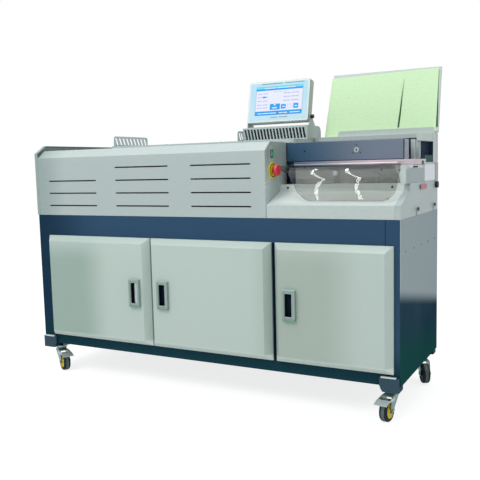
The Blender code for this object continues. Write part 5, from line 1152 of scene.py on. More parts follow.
def add_frame(
    shape: bmesh.types.BMesh, outer: Outline, inner: Outline, axis: Axis, start: float, end: float
) -> None:
    """Adds a frame between two outlines of as many points, drawn out along an axis.

    Args:
        shape: The bmesh to add to.
        outer: The outer outline.
        inner: The opening's outline.
        axis: The axis the frame is drawn out along.
        start: Where it starts along that axis.
        end: Where it ends.
    """
    part = bmesh.new()
    rings = []
    for outline, place in ((outer, start), (outer, end), (inner, end), (inner, start)):
        rings.append([part.verts.new(axis.point(u, v, place)) for u, v in outline])
    for first, second in zip(rings, rings[1:] + rings[:1]):
        for i in range(len(outer)):
            j = (i + 1) % len(outer)
            part.faces.new((first[i], first[j], second[j], second[i]))
    merge_into(shape, part)


def add_screw(
    shape: bmesh.types.BMesh, centre: Vector, direction: Vector, radius: float, height: float,
) -> None:
    """Adds a button-head screw with a hexagon socket.

    Args:
        shape: The bmesh to add to.
        centre: Centre of the head's underside.
        direction: Which way the head points.
        radius: The head's radius.
        height: The head's height.
    """
    placing = turned_matrix(centre, direction)
    part = bmesh.new()
    steps, half_flat = 24, math.pi / 6
    levels = [
        (1.0, 0.0, False), (1.0, 0.30, False), (0.93, 0.66, False), (0.74, 0.94, False),
        (0.58, 1.0, False), (0.44, 0.98, True), (0.42, 0.35, True), (0.0, 0.30, True),
    ]
    rings = []
    for reach, level, flats in levels:
        if reach == 0:
            rings.append([part.verts.new(placing @ Vector((0, 0, level * height)))])
            continue
        ring = []
        for i in range(steps):
            turn = 2 * math.pi * i / steps
            out = reach * radius
            if flats:
                out *= math.cos(half_flat) / math.cos(turn % (2 * half_flat) - half_flat)
            spot = Vector((out * math.cos(turn), out * math.sin(turn), level * height))
            ring.append(part.verts.new(placing @ spot))
        rings.append(ring)
    part.faces.new(rings[0])
    for low, high in zip(rings, rings[1:]):
        for i in range(steps):
            j = (i + 1) % steps
            corners = (low[i], low[j], high[j % len(high)], high[i % len(high)])
            part.faces.new(list(dict.fromkeys(corners)))
    merge_into(shape, part)


def on_top(node: str, xs: tuple[float, ...], ys: tuple[float, ...]) -> list[tuple[Vector, Vector]]:
    """Gives the places of screws in rows on a node's top face.

    Args:
        node: The CAD node.
        xs: Their distances from the cabinet's left side.
        ys: Their distances behind the cabinet's front.

    Returns:
        Centre and direction of each screw.
    """
    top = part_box(node)[1].z
    return [(Vector((*cab(x, y, 0).xy, top)), UP) for x in xs for y in ys]


def on_side(
    node: str, ys: tuple[float, ...], zs: tuple[float, ...], way: int = 1,
) -> list[tuple[Vector, Vector]]:
    """Gives the places of screws in rows on a node's left or right face.

    Args:
        node: The CAD node.
        ys: Their distances behind the cabinet's front.
        zs: Their heights above the floor.
        way: 1 for the right face, -1 for the left one.

    Returns:
        Centre and direction of each screw.
    """
    low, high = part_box(node)
    face = high.x if way > 0 else low.x
    return [(Vector((face, cab(0, y, z).y, z)), RIGHT * way) for y in ys for z in zs]


@dataclass(frozen=True)
class Head:
    """One kind of screw head."""

    radius: float
    height: float
    finish: Finish = Look.SCREW_DARK
    slot: str = "black_plastic"


@dataclass(frozen=True)
class Plate:
    """A small box-shaped piece, by its lowest and highest corner from the cabinet's corner."""

    name: str
    low: Point
    high: Point
    finish: Finish
    slot: str = "light_paint"
    corner: float = 0.0
    axis: Axis = Axis.X


@dataclass
class SubAssembly:
    """What every sub-assembly shares: where its pieces ride and how they are reported."""

    body: str = MACHINE

    def keep(
        self, piece: bpy.types.Object, finish: Finish, slot: str, body: str = "",
    ) -> bpy.types.Object:
        """Dresses a piece, lets it ride on a body and reports it.

        Args:
            piece: The piece, in place.
            finish: Its finish.
            slot: The record's material slot; not used.
            body: The body it rides on, if not the sub-assembly's own.

        Returns:
            The piece.
        """
        piece.data.materials.clear()
        piece.data.materials.append(finish.material())
        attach(piece, body or self.body)
        LOG.info("%s: %s, %s", type(self).__name__, piece.name, finish.name)
        return piece

    def skin(
        self, node: str, finish: Finish, slot: str, width: float, body: str = "",
    ) -> bpy.types.Object:
        """Dresses a CAD node's rounded copy.

        Args:
            node: The CAD node.
            finish: Its finish.
            slot: The record's material slot.
            width: Width of the rounded edges.
            body: The body it rides on, if not the sub-assembly's own.

        Returns:
            The piece.
        """
        return self.keep(dressed(node, width), finish, slot, body)

    def screws(
        self, name: str, places: list[tuple[Vector, Vector]], head: Head, body: str = "",
    ) -> None:
        """Adds several screws as one piece.

        Args:
            name: The piece's name.
            places: Centre and direction of each head.
            head: Their kind of head.
            body: The body they ride on, if not the sub-assembly's own.
        """
        shape = bmesh.new()
        for centre, direction in places:
            add_screw(shape, centre - direction * PROUD, direction, head.radius, head.height)
        self.keep(object_from(name, shape, even=False), head.finish, head.slot, body)

    def block(
        self, name: str, low: Vector, high: Vector, finish: Finish, slot: str,
        width: float, corner: float = 0.0, axis: Axis = Axis.Z, body: str = "",
    ) -> None:
        """Adds a box-shaped piece with rounded edges.

        Args:
            name: The piece's name.
            low: Its lowest corner.
            high: Its highest corner.
            finish: Its finish.
            slot: The record's material slot.
            width: Width of its rounded edges.
            corner: Radius of its four corners along the axis.
            axis: The axis that the corners are rounded along.
            body: The body it rides on, if not the sub-assembly's own.
        """
        shape = bmesh.new()
        add_box(shape, low, high, width, corner, axis)
        self.keep(object_from(name, shape), finish, slot, body)

    def plates(self, plates: tuple[Plate, ...]) -> None:
        """Adds several plates.

        Args:
            plates: The plates.
        """
        for plate in plates:
            low, high = cab(*plate.low), cab(*plate.high)
            self.block(
                plate.name, low, high, plate.finish, plate.slot, PROUD, plate.corner, plate.axis,
            )

    def turned(
        self, name: str, profile: Outline, centre: Vector, direction: Vector, finish: Finish,
        slot: str, body: str = "", steps: int = 48,
    ) -> bpy.types.Object:
        """Adds a turned piece.

        Args:
            name: The piece's name.
            profile: Radius and place along the axis of each ring.
            centre: Where the axis starts.
            direction: Which way the axis points.
            finish: Its finish.
            slot: The record's material slot.
            body: The body it rides on, if not the sub-assembly's own.
            steps: Sides of the circle.

        Returns:
            The piece.
        """
        shape = bmesh.new()
        add_turned(shape, profile, centre, direction, steps)
        return self.keep(object_from(name, shape, even=False), finish, slot, body)


@dataclass
class Cabinet(SubAssembly):
    """The blue steel cabinet on its four foot blocks."""

    top: float = 0.665
    seam_x: float = 1.479
    seam_width: float = 0.0014
    rail_bottom: float = 0.584
    side_screw: Head = Head(0.0028, 0.0016)
    side_screw_y: tuple[float, ...] = (0.060, 0.165, 0.270, 0.375, 0.480)
    side_screw_z: float = 0.5580
    # Strips of painted shade in the door gaps.
    gap_shades: tuple[Plate, ...] = (
        Plate(
            "left_door_gap_shade", (0.5672, -0.0012, 0.1660), (0.5718, 0.0003, 0.5800), Look.GAP_SHADE,
            "black_plastic",
        ),
        Plate(
            "right_door_gap_shade", (1.0792, -0.0012, 0.1660), (1.0926, 0.0003, 0.5800), Look.GAP_SHADE,
            "black_plastic",
        ),
    )
    # A pale strip on each front foot's top edge: a painted highlight.
    foot_highlight_y: tuple[float, float] = (-0.0124, -0.0040)
    foot_highlight_z: tuple[float, float] = (0.1515, 0.1565)
    foot_highlight_edge: float = 0.0014
    foot_places: tuple[tuple[str, float, float], ...] = (
        ("left", 0.010, 0.060), ("right", 1.466, 1.516),
    )

    def build(self) -> None:
        """Dresses frame and panels; adds the seam, painted shade in the door gaps, screws and
        painted foot highlights.
        """
        self.skin("cabinet_frame", Look.BLUE, "blue_paint", 0.0012)
        self.skin("left_side_panel", Look.BLUE, "blue_paint", 0.0008)
        # The right side panel has a painted sheen over painted shade.
        self.skin("right_side_panel", Look.SIDE_BLUE, "blue_paint", 0.0008)
        self.skin("cabinet_back_panel", Look.BLUE, "blue_paint", 0.0006)
        self.skin("machine_bed", Look.BLUE, "blue_paint", 0.0006)
        self.seam()
        self.plates(self.gap_shades)
        self.side_screws()
        self.foot_highlights()

    def seam(self) -> None:
        """Adds the dark joint between the top rail and the corner post."""
        half = self.seam_width / 2
        low = cab(self.seam_x - half, -2 * PROUD, self.rail_bottom)
        high = cab(self.seam_x + half, PROUD, self.top - PROUD)
        self.block("top_rail_seam", low, high, Look.DARK, "black_plastic", width=0.0)

    def foot_highlights(self) -> None:
        """Adds a pale strip along the top of each front foot block: a painted highlight on its top
        edge.
        """
        (front, back), (bottom, top) = self.foot_highlight_y, self.foot_highlight_z
        for side, start, end in self.foot_places:
            low, high = cab(start, front, bottom), cab(end, back, top)
            self.block(f"{side}_foot_cap", low, high, Look.SATIN, "blue_paint", self.foot_highlight_edge)

    def side_screws(self) -> None:
        """Adds the row of small screws on each side panel."""
        for side, way in (("left", -1), ("right", 1)):
            places = on_side(f"{side}_side_panel", self.side_screw_y, (self.side_screw_z,), way)
            self.screws(f"{side}_panel_screws", places, self.side_screw)


@dataclass
class Door(SubAssembly):
    """One pan door with its flush pull handle."""

    side: str = "left"
    tints: tuple[Tint, ...] = ()
    # Painted light on the door's downward-facing lower chamfer.
    foot_chamfer_light: Tint = Tint((208, 221, 214), "Z", 0.183, 0.190)
    slot_insets: tuple[float, float] = (0.0016, 0.0040)
    flap: float = 0.0
    rim: float = 0.008
    cup_wall: float = 0.0015
    liner: float = 0.0008
    slot_end: float = 0.0060
    slot_corner: float = 0.0032
    cup_corner: float = 0.0006
    lining_back: float = 0.0050
    plate_back: tuple[float, float] = (0.0024, 0.0046)
    flap_back: tuple[float, float] = (0.0034, 0.0086)
    flap_sheet: float = 0.0014
    flap_edge: float = 0.0002
    door_edge: float = 0.0022
    handle_edge: float = 0.0012

    def build(self) -> None:
        """Dresses the door and its handle, and fits the handle's cup."""
        self.body = f"{self.side}_door_body"
        # The door's paint takes its painted shade and the painted light on its lower chamfer.
        finish = replace(
            Look.DOOR, name=f"{self.side}_door_paint", tints=(*self.tints, self.foot_chamfer_light),
        )
        self.skin(f"{self.side}_door", finish, "door_paint", self.door_edge)
        self.skin(f"{self.side}_door_handle", Look.CHROME, "handle_chrome", self.handle_edge)
        self.cup()

    def cup(self) -> None:
        """Lines the handle's cup, and adds the slotted plate and the sloping flap inside it."""
        low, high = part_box(f"{self.side}_door_handle")
        left, right = low.x + self.rim + PROUD, high.x - self.rim - PROUD
        bottom, top = low.z + self.rim + PROUD, high.z - self.rim - PROUD
        floor, thin = high.y - self.cup_wall, self.liner
        opening = oblong((left, bottom), (right, top), self.cup_corner)
        wall = oblong((left + thin, bottom + thin), (right - thin, top - thin), self.cup_corner)
        # The cup's dark lining is painted shade in the recess.
        lining = bmesh.new()
        add_frame(lining, opening, wall, Axis.Y, low.y + self.lining_back, floor)
        add_prism(lining, wall, Axis.Y, floor - thin, floor - PROUD)
        self.keep(object_from(f"{self.side}_handle_lining", lining), Look.DARK, "black_plastic")
        near, far = self.slot_insets
        slot = ((left + near, bottom + self.slot_end), (right - far, top - self.slot_end))
        start, end = self.plate_back
        plate = bmesh.new()
        add_frame(
            plate, opening, oblong(*slot, self.slot_corner), Axis.Y, low.y + start, low.y + end,
        )
        self.keep(object_from(f"{self.side}_handle_plate", plate), Look.CHROME, "handle_chrome")
        if self.flap:
            self.sloping_flap(left + self.flap, slot, low.y)

    def sloping_flap(
        self, start: float, slot: Steps, front: float,
    ) -> None:
        """Adds the flap that slopes inwards behind the handle's slot.

        Args:
            start: Where its deep edge lies along X.
            slot: Lowest and highest corner of the slot.
            front: Where the handle's front lies along Y.
        """
        (_, bottom), (end, top) = slot
        face, deep = front + self.flap_back[0], front + self.flap_back[1]
        sheet = self.flap_sheet
        outline = [(end, face), (end, face + sheet), (start, deep + sheet), (start, deep)]
        sloped = bmesh.new()
        add_prism(sloped, outline, Axis.Z, bottom + PROUD, top - PROUD, self.flap_edge)
        self.keep(object_from(f"{self.side}_handle_flap", sloped), Look.SATIN, "handle_chrome")


@dataclass
class Caster(SubAssembly):
    """One swivel caster: plate, fork, wheel with tyre and hub, and its axle."""

    corner: str = "front_right"
    turn: float = 0.0
    braked: bool = True
    hub_finish: Finish = Look.HUB
    radius: float = 0.0375
    half_width: float = 0.014
    hub_radius: float = 0.0255
    boss_radius: float = 0.009
    boss_bore: float = 0.0045
    boss_rise: float = 0.0006
    tyre_foot: Steps = ((0.0, 0.0015), (0.004, 0.0))
    tyre_shoulder: Steps = ((-0.006, 0.0), (-0.0030, 0.0012), (-0.0008, 0.0040), (-0.0001, 0.0072))
    boss_steps: Steps = ((0.0, 0.0004), (0.0008, 0.0040))
    hub_steps: Steps = ((-0.0045, 0.0045), (-0.0025, 0.0012), (-0.0005, 0.0006), (0.0005, 0.0030))
    boss_edge: float = 0.001
    tyre_sides: int = 56
    tread_inset: float = 0.0078
    tread_edge: float = 0.0006
    bolt_circle: float = 0.0175
    bolt_depth: float = 0.0043
    bolts: int = 6
    hub_bolt: Head = Head(0.0018, 0.0012, Look.SCREW, "bright_steel")
    plate_bolt: Head = Head(0.0042, 0.0030, Look.SCREW, "bright_steel")
    plate_bolt_inset: float = 0.0085
    plate_thickness: float = 0.003
    plate_edge: float = 0.0004
    fork_edge: float = 0.0005

    def build(self) -> None:
        """Dresses plate, fork and pedal, and replaces the wheel by its tyre and hub."""
        swivel = f"{self.corner}_swivel"
        self.skin(f"{self.corner}_caster_plate", Look.SATIN, "caster_zinc", self.plate_edge)
        self.skin(f"{self.corner}_caster_fork", Look.ZINC, "caster_zinc", self.fork_edge, swivel)
        if self.braked:
            pedal, body = f"{self.corner}_brake_pedal", f"{self.corner}_brake"
            self.skin(pedal, Look.SATIN, "caster_zinc", self.fork_edge, body)
        self.wheel(f"{self.corner}_roller")
        self.plate_bolts()

    def wheel(self, body: str) -> None:
        """Makes the tyre, its worn tread, the yellow hub and its bolts.

        Args:
            body: The body that the wheel rolls on.
        """
        low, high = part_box(f"{self.corner}_caster_wheel")
        centre, turn = (low + high) / 2, math.radians(self.turn)
        axis = Vector((math.cos(turn), math.sin(turn), 0.0))
        r, w, hub = self.radius, self.half_width, self.hub_radius
        sides = self.tyre_sides
        shoulder = self.mirrored(self.half(hub, self.tyre_foot) + self.half(r, self.tyre_shoulder))
        tyre = self.turned(
            f"{self.corner}_tyre", shoulder, centre, axis, Look.TYRE, "wheel_tyre", body, sides,
        )
        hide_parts(f"{self.corner}_caster_wheel")
        band, edge = w - self.tread_inset, self.tread_edge
        tread = self.mirrored([(r - edge, -band), (r, -band + edge)])
        self.turned(
            f"{self.corner}_tread", tread, centre, axis, Look.TREAD, "wheel_tyre", body, sides,
        )
        boss, end = self.boss_radius, -w - self.boss_rise
        face = [(self.boss_bore, end), (boss - self.boss_edge, end)]
        face = self.mirrored(
            face + self.half(boss, self.boss_steps) + self.half(hub, self.hub_steps),
        )
        self.turned(
            f"{self.corner}_hub", face, centre, axis, self.hub_finish, "yellow_plastic", body,
        )
        self.screws(f"{self.corner}_hub_bolts", self.bolt_places(centre, axis), self.hub_bolt, body)

    def half(self, radius: float, steps: Steps) -> Outline:
        """Gives points of a profile by their steps out from a radius and in from the side."""
        return [(radius + out, -self.half_width + deep) for out, deep in steps]

    @staticmethod
    def mirrored(profile: Outline) -> Outline:
        """Gives a turned part's whole profile from the half at the start of its axis."""
        return profile + [(radius, -along) for radius, along in reversed(profile)]

    def bolt_places(self, centre: Vector, axis: Vector) -> list[tuple[Vector, Vector]]:
        """Gives the places of the bolts on both faces of the hub.

        Args:
            centre: The wheel's centre.
            axis: The direction of its axle.

        Returns:
            Centre and direction of each bolt.
        """
        across = axis.cross(UP).normalized()
        up = across.cross(axis)
        places = []
        for way in (-1, 1):
            face = centre + axis * way * (self.half_width - self.bolt_depth)
            for i in range(self.bolts):
                turn = 2 * math.pi * i / self.bolts
                out = across * math.cos(turn) + up * math.sin(turn)
                places.append((face + self.bolt_circle * out, axis * way))
        return places

    def plate_bolts(self) -> None:
        """Adds the four bolt heads under the mounting plate."""
        low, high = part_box(f"{self.corner}_caster_plate")
        middle = (low + high) / 2
        reach = (high.x - low.x) / 2 - self.plate_bolt_inset
        corners = [Vector((x, y, 0)) * reach for x in (-1, 1) for y in (-1, 1)]
        under = Vector((middle.x, middle.y, high.z - self.plate_thickness))
        places = [(under + corner, -UP) for corner in corners]
        self.screws(f"{self.corner}_plate_bolts", places, self.plate_bolt)


@dataclass
class Housing(SubAssembly):
    """The long housing: hinged slotted cover, end plate, control plate and rear cover."""

    end_screw_z: tuple[float, ...] = (0.690, 0.800, 0.900)
    end_screw_y: tuple[float, ...] = (0.040, 0.300)
    end_screw: Head = Head(0.0048, 0.0022, Look.SCREW, "bright_steel")

    def build(self) -> None:
        """Dresses the sheets and the mains inlet, and adds the end plate's screws."""
        self.skin("hinged_cover", Look.HOUSING, "light_paint", 0.0007, "cover")
        self.skin("left_end_plate", Look.END, "end_paint", 0.0008)
        self.skin("control_plate", Look.CONTROL, "light_paint", 0.0006)
        self.skin("rear_cover", Look.PALE, "light_paint", 0.0006)
        self.skin("mains_inlet", Look.BLACK, "black_plastic", 0.0005)
        places = on_side("left_end_plate", self.end_screw_y, self.end_screw_z, -1)
        self.screws("end_plate_screws", places, self.end_screw)


@dataclass
class TopDeck(SubAssembly):
    """The flat deck behind the cover with its louvred guards and the vented hood."""

    screw_x: tuple[float, ...] = (0.225, 0.480, 0.735)
    screw_y: tuple[float, ...] = (0.262, 0.512)
    screw: Head = Head(0.0045, 0.0020, Look.SCREW, "bright_steel")

    def build(self) -> None:
        """Dresses the deck, guards and hood, and adds the deck's screws."""
        self.skin("top_deck", Look.HOUSING, "light_paint", 0.0006)
        self.skin("left_louvre", Look.GUARD, "end_paint", 0.0005)
        self.skin("right_louvre", Look.GUARD, "end_paint", 0.0005)
        self.skin("vent_hood", Look.GUARD, "end_paint", 0.0006)
        self.screws("deck_screws", on_top("top_deck", self.screw_x, self.screw_y), self.screw)


@dataclass
class TouchPanel(SubAssembly):
    """The tilting touch panel: case, membrane, lit display, clamp rod and bracket."""

    body: str = "touch_panel"
    width: float = 0.268
    height: float = 0.170
    right: float = 1.054
    axis_y: float = 0.426
    axis_z: float = 1.035
    tilt: float = math.radians(12.4)
    from_front: float = 0.0224
    from_bottom: float = 0.0193
    rim: float = 0.0080
    membrane_corner: float = 0.007
    membrane_height: float = 0.00045
    line_width: float = 0.0012
    line_corners: tuple[float, float] = (0.0012, 0.0020)
    line_height: float = 0.00055
    strip_corner: float = 0.0006
    strip_levels: tuple[float, float] = (0.0004, 0.0005)
    window: Rect = (0.034, 0.029, 0.239, 0.146)
    row_heights: tuple[float, ...] = (0.745, 0.620, 0.487, 0.352, 0.244)
    left_fields: Steps = (
        (0.03, 0.075), (0.085, 0.125), (0.155, 0.20), (0.21, 0.255),
    )
    right_fields: Steps = (
        (0.60, 0.66), (0.67, 0.74), (0.765, 0.83), (0.84, 0.92),
    )
    field_height: float = 0.034
    right_rows: int = 3
    right_drop: float = 0.015
    right_drift: float = 0.004
    corner_share: float = 0.12
    ground: float = 0.00030
    print_height: float = 0.00005
    border_height: float = 0.00003
    key_height: float = 0.00010
    glyph_base: float = 0.00006
    glyph_height: float = 0.00012
    header: Rect = (0.0, 0.935, 1.0, 1.0)
    bars: tuple[Rect, ...] = ((0.0, 0.87, 1.0, 0.935), (0.0, 0.0, 1.0, 0.14))
    title: tuple[Rect, ...] = (
        (0.37, 0.795, 0.45, 0.82), (0.47, 0.795, 0.56, 0.82), (0.58, 0.795, 0.66, 0.82),
    )
    key_border: Rect = (0.695, 0.205, 0.775, 0.345)
    key_blank: Rect = (0.700, 0.213, 0.770, 0.337)
    keys: tuple[Rect, ...] = (
        (0.315, 0.175, 0.535, 0.385), (0.555, 0.195, 0.66, 0.355), (0.82, 0.195, 0.925, 0.365),
        (0.14, 0.61, 0.215, 0.665),
    )
    glyphs: tuple[Rect, ...] = (
        (0.40, 0.325, 0.44, 0.375), (0.365, 0.225, 0.475, 0.265), (0.585, 0.255, 0.64, 0.290),
        (0.845, 0.255, 0.905, 0.290), (0.05, 0.045, 0.15, 0.075), (0.16, 0.045, 0.30, 0.075),
        (0.31, 0.045, 0.46, 0.075), (0.52, 0.045, 0.60, 0.075), (0.61, 0.045, 0.70, 0.075),
        (0.75, 0.045, 0.96, 0.075), (0.18, 0.93, 0.42, 0.955), (0.45, 0.93, 0.84, 0.955),
    )
    strips: tuple[Rect, ...] = (
        (0.16, 0.156, 0.245, 0.160), (0.055, 0.156, 0.150, 0.160), (0.105, 0.0165, 0.135, 0.0200),
        (0.140, 0.0165, 0.180, 0.0200),
    )

    def placing(self) -> Matrix:
        """Places the panel's own plane, in metres from its lower left corner, in the frame.

        Returns:
            The matrix from the plane to the frame.
        """
        sine, cosine = math.sin(self.tilt), math.cos(self.tilt)
        up, out = Vector((0, sine, cosine)), Vector((0, -cosine, sine))
        start = cab(self.right - self.width, self.axis_y, self.axis_z)
        start += out * self.from_front - up * self.from_bottom
        turn = Matrix((RIGHT, up, out)).transposed().to_4x4()
        return Matrix.Translation(start) @ turn

    def flat(
        self, name: str, plates: Sequence[Rect], base: float, rise: float, finish: Finish,
    ) -> None:
        """Adds flat plates of the display as one piece.

        Args:
            name: The piece's name.
            plates: Left, bottom, right and top of each plate, as shares of the display.
            base: How far the plates' backs stand in front of the case.
            rise: Their thickness.
            finish: Their finish.
        """
        left, bottom, right, top = self.window
        shape = bmesh.new()
        for u0, v0, u1, v1 in plates:
            low = (left + u0 * (right - left), bottom + v0 * (top - bottom))
            high = (left + u1 * (right - left), bottom + v1 * (top - bottom))
            corner = self.corner_share * min(high[0] - low[0], high[1] - low[1])
            add_prism(shape, oblong(low, high, corner, 2), Axis.Z, base, base + rise)
        self.panel_piece(name, shape, finish)

    def rows(self) -> list[Rect]:
        """Gives the short strokes of the display's rows: five on the left, three on the right.

        Returns:
            Left, bottom, right and top of each stroke, as shares of the display.
        """
        strokes = []
        for index, level in enumerate(self.row_heights):
            right_fields = self.right_fields if index < self.right_rows else ()
            lower = level - self.right_drop - self.right_drift * index
            for fields, low in ((self.left_fields, level), (right_fields, lower)):
                strokes += [(start, low, end, low + self.field_height) for start, end in fields]
        return strokes

    def build(self) -> None:
        """Dresses the case and bracket, and builds membrane and display."""
        self.skin("screen_case", Look.CASE, "case_plastic", 0.0022)
        self.skin("screen_glass", Look.LCD, "screen_face", 0.0002)
        self.skin("screen_bracket", Look.GUARD, "end_paint", 0.0005, MACHINE)
        self.skin("tilt_clamp_rod", Look.BLACK, "black_plastic", 0.0006, "tilt_clamp")
        self.membrane()
        self.flat("display_ground", ((0.0, 0.0, 1.0, 1.0),), 0.0, self.ground, Look.LCD)
        base, thin, border = self.ground, self.print_height, self.border_height
        self.flat("display_header", (self.header,), base, thin, Look.LCD_CYAN)
        self.flat("display_bars", self.bars, base, thin, Look.LCD_BLUE)
        self.flat("display_fields", self.rows(), base, thin, Look.LCD_TEXT)
        self.flat("display_title", self.title, base, thin, Look.LCD_ROSE)
        self.flat("display_key_border", (self.key_border,), base, border, Look.LCD_TEXT)
        self.flat("display_key_blank", (self.key_blank,), base + border, border, Look.LCD)
        self.flat("display_keys", self.keys, base, self.key_height, Look.LCD_BLUE)
        base += self.glyph_base
        self.flat("display_glyphs", self.glyphs, base, self.glyph_height, Look.LCD)

    def membrane(self) -> None:
        """Adds the pale blue membrane round the display, with its four plain printed strips."""
        left, bottom, right, top = self.window
        rim, line, corners = self.rim, self.line_width, self.line_corners
        outer = oblong((rim, rim), (self.width - rim, self.height - rim), self.membrane_corner, 5)
        inner = oblong((left, bottom), (right, top), corners[0], 5)
        edge = oblong((left - line, bottom - line), (right + line, top + line), corners[1], 5)
        for name, wide, narrow, rise, finish in (
            ("panel_membrane", outer, inner, self.membrane_height, Look.MEMBRANE),
            ("window_line", edge, inner, self.line_height, Look.CASE_LINE),
        ):
            shape = bmesh.new()
            add_frame(shape, wide, narrow, Axis.Z, 0.0, rise)
            self.panel_piece(name, shape, finish)
        printed = bmesh.new()
        for u0, v0, u1, v1 in self.strips:
            outline = oblong((u0, v0), (u1, v1), self.strip_corner, 2)
            add_prism(printed, outline, Axis.Z, *self.strip_levels)
        self.panel_piece("membrane_strips", printed, Look.CASE_LINE)

    def panel_piece(self, name: str, shape: bmesh.types.BMesh, finish: Finish) -> None:
        """Moves a shape from the panel's own plane into place and keeps it as a piece."""
        bmesh.ops.transform(shape, matrix=self.placing(), verts=shape.verts)
        self.keep(object_from(name, shape), finish, "screen_face")


@dataclass
class Controls(SubAssembly):
    """The rocker switch and the emergency stop on the housing's right wall."""

    stem: float = 0.0078
    neck: float = 0.0095
    head_height: float = 0.0125
    stem_end: float = 0.006
    neck_start: float = 0.004
    rim: Steps = ((0.002, 0.0), (0.0, 0.002))
    cap: Steps = ((0.0, 0.004), (0.0012, 0.0016), (0.0040, 0.0002), (0.0065, 0.0), (0.0090, 0.0010))
    dimple: tuple[float, float] = (0.004, 0.0014)
    ring_height: float = PROUD / 4
    groove: tuple[float, float] = (0.0225, 0.0240)
    seat_width: float = 0.0018
    bezel_gap: float = 0.0008
    bezel_wall: float = 0.0032
    bezel_height: float = 0.0015
    bezel_corners: tuple[float, float] = (0.0020, 0.0006)

    def build(self) -> None:
        """Dresses the rocker and builds bezel, mushroom button and collar rings."""
        self.skin("power_switch", Look.GREEN, "green_plastic", 0.0008, "rocker")
        self.skin("emergency_collar", Look.YELLOW, "yellow_plastic", 0.0008)
        self.bezel()
        self.button()
        self.collar_rings()

    def bezel(self) -> None:
        """Adds the black frame round the rocker."""
        low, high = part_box("power_switch")
        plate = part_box("control_plate")[1].x
        outlines = []
        rims = (self.bezel_gap + self.bezel_wall, self.bezel_gap)
        for rim, corner in zip(rims, self.bezel_corners):
            start, end = (low.y - rim, low.z - rim), (high.y + rim, high.z + rim)
            outlines.append(oblong(start, end, corner, 3))
        shape = bmesh.new()
        add_frame(shape, *outlines, Axis.X, plate - PROUD, plate + self.bezel_height)
        self.keep(object_from("rocker_bezel", shape), Look.BLACK, "black_plastic")

    def button(self) -> None:
        """Builds the mushroom button."""
        low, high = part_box("emergency_button")
        radius, top = (high.y - low.y) / 2, high.x - low.x
        start = Vector((low.x, (low.y + high.y) / 2, (low.z + high.z) / 2))
        under = top - self.head_height
        profile = [(0.0, 0.0), (self.stem, 0.0)]
        profile += [(self.stem, under - self.stem_end), (self.neck, under - self.neck_start)]
        profile += [(radius - inwards, under + up) for inwards, up in self.rim]
        profile += [(radius - inwards, top - down) for inwards, down in self.cap]
        middle, depth = self.dimple
        profile += [(middle, top - depth), (0.0, top - depth)]
        button = self.turned(
            "stop_button", profile, start, RIGHT, Look.RED, "red_plastic", "stop_button",
        )
        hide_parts("emergency_button")

    def collar_rings(self) -> None:
        """Adds the collar's groove, and the dark seat round the button: painted recess shade."""
        low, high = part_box("emergency_button")
        middle = (low + high) / 2
        face = Vector((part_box("emergency_collar")[1].x, middle.y, middle.z))
        seat = (high.z - low.z) / 2 + 2 * PROUD
        top = self.ring_height
        for name, inner, outer in (
            ("collar_groove", *self.groove), ("collar_seat", seat, seat + self.seat_width),
        ):
            ring = [(inner, -PROUD), (outer, -PROUD), (outer, top), (inner, top)]
            self.turned(name, ring, face, RIGHT, Look.DARK, "black_plastic")


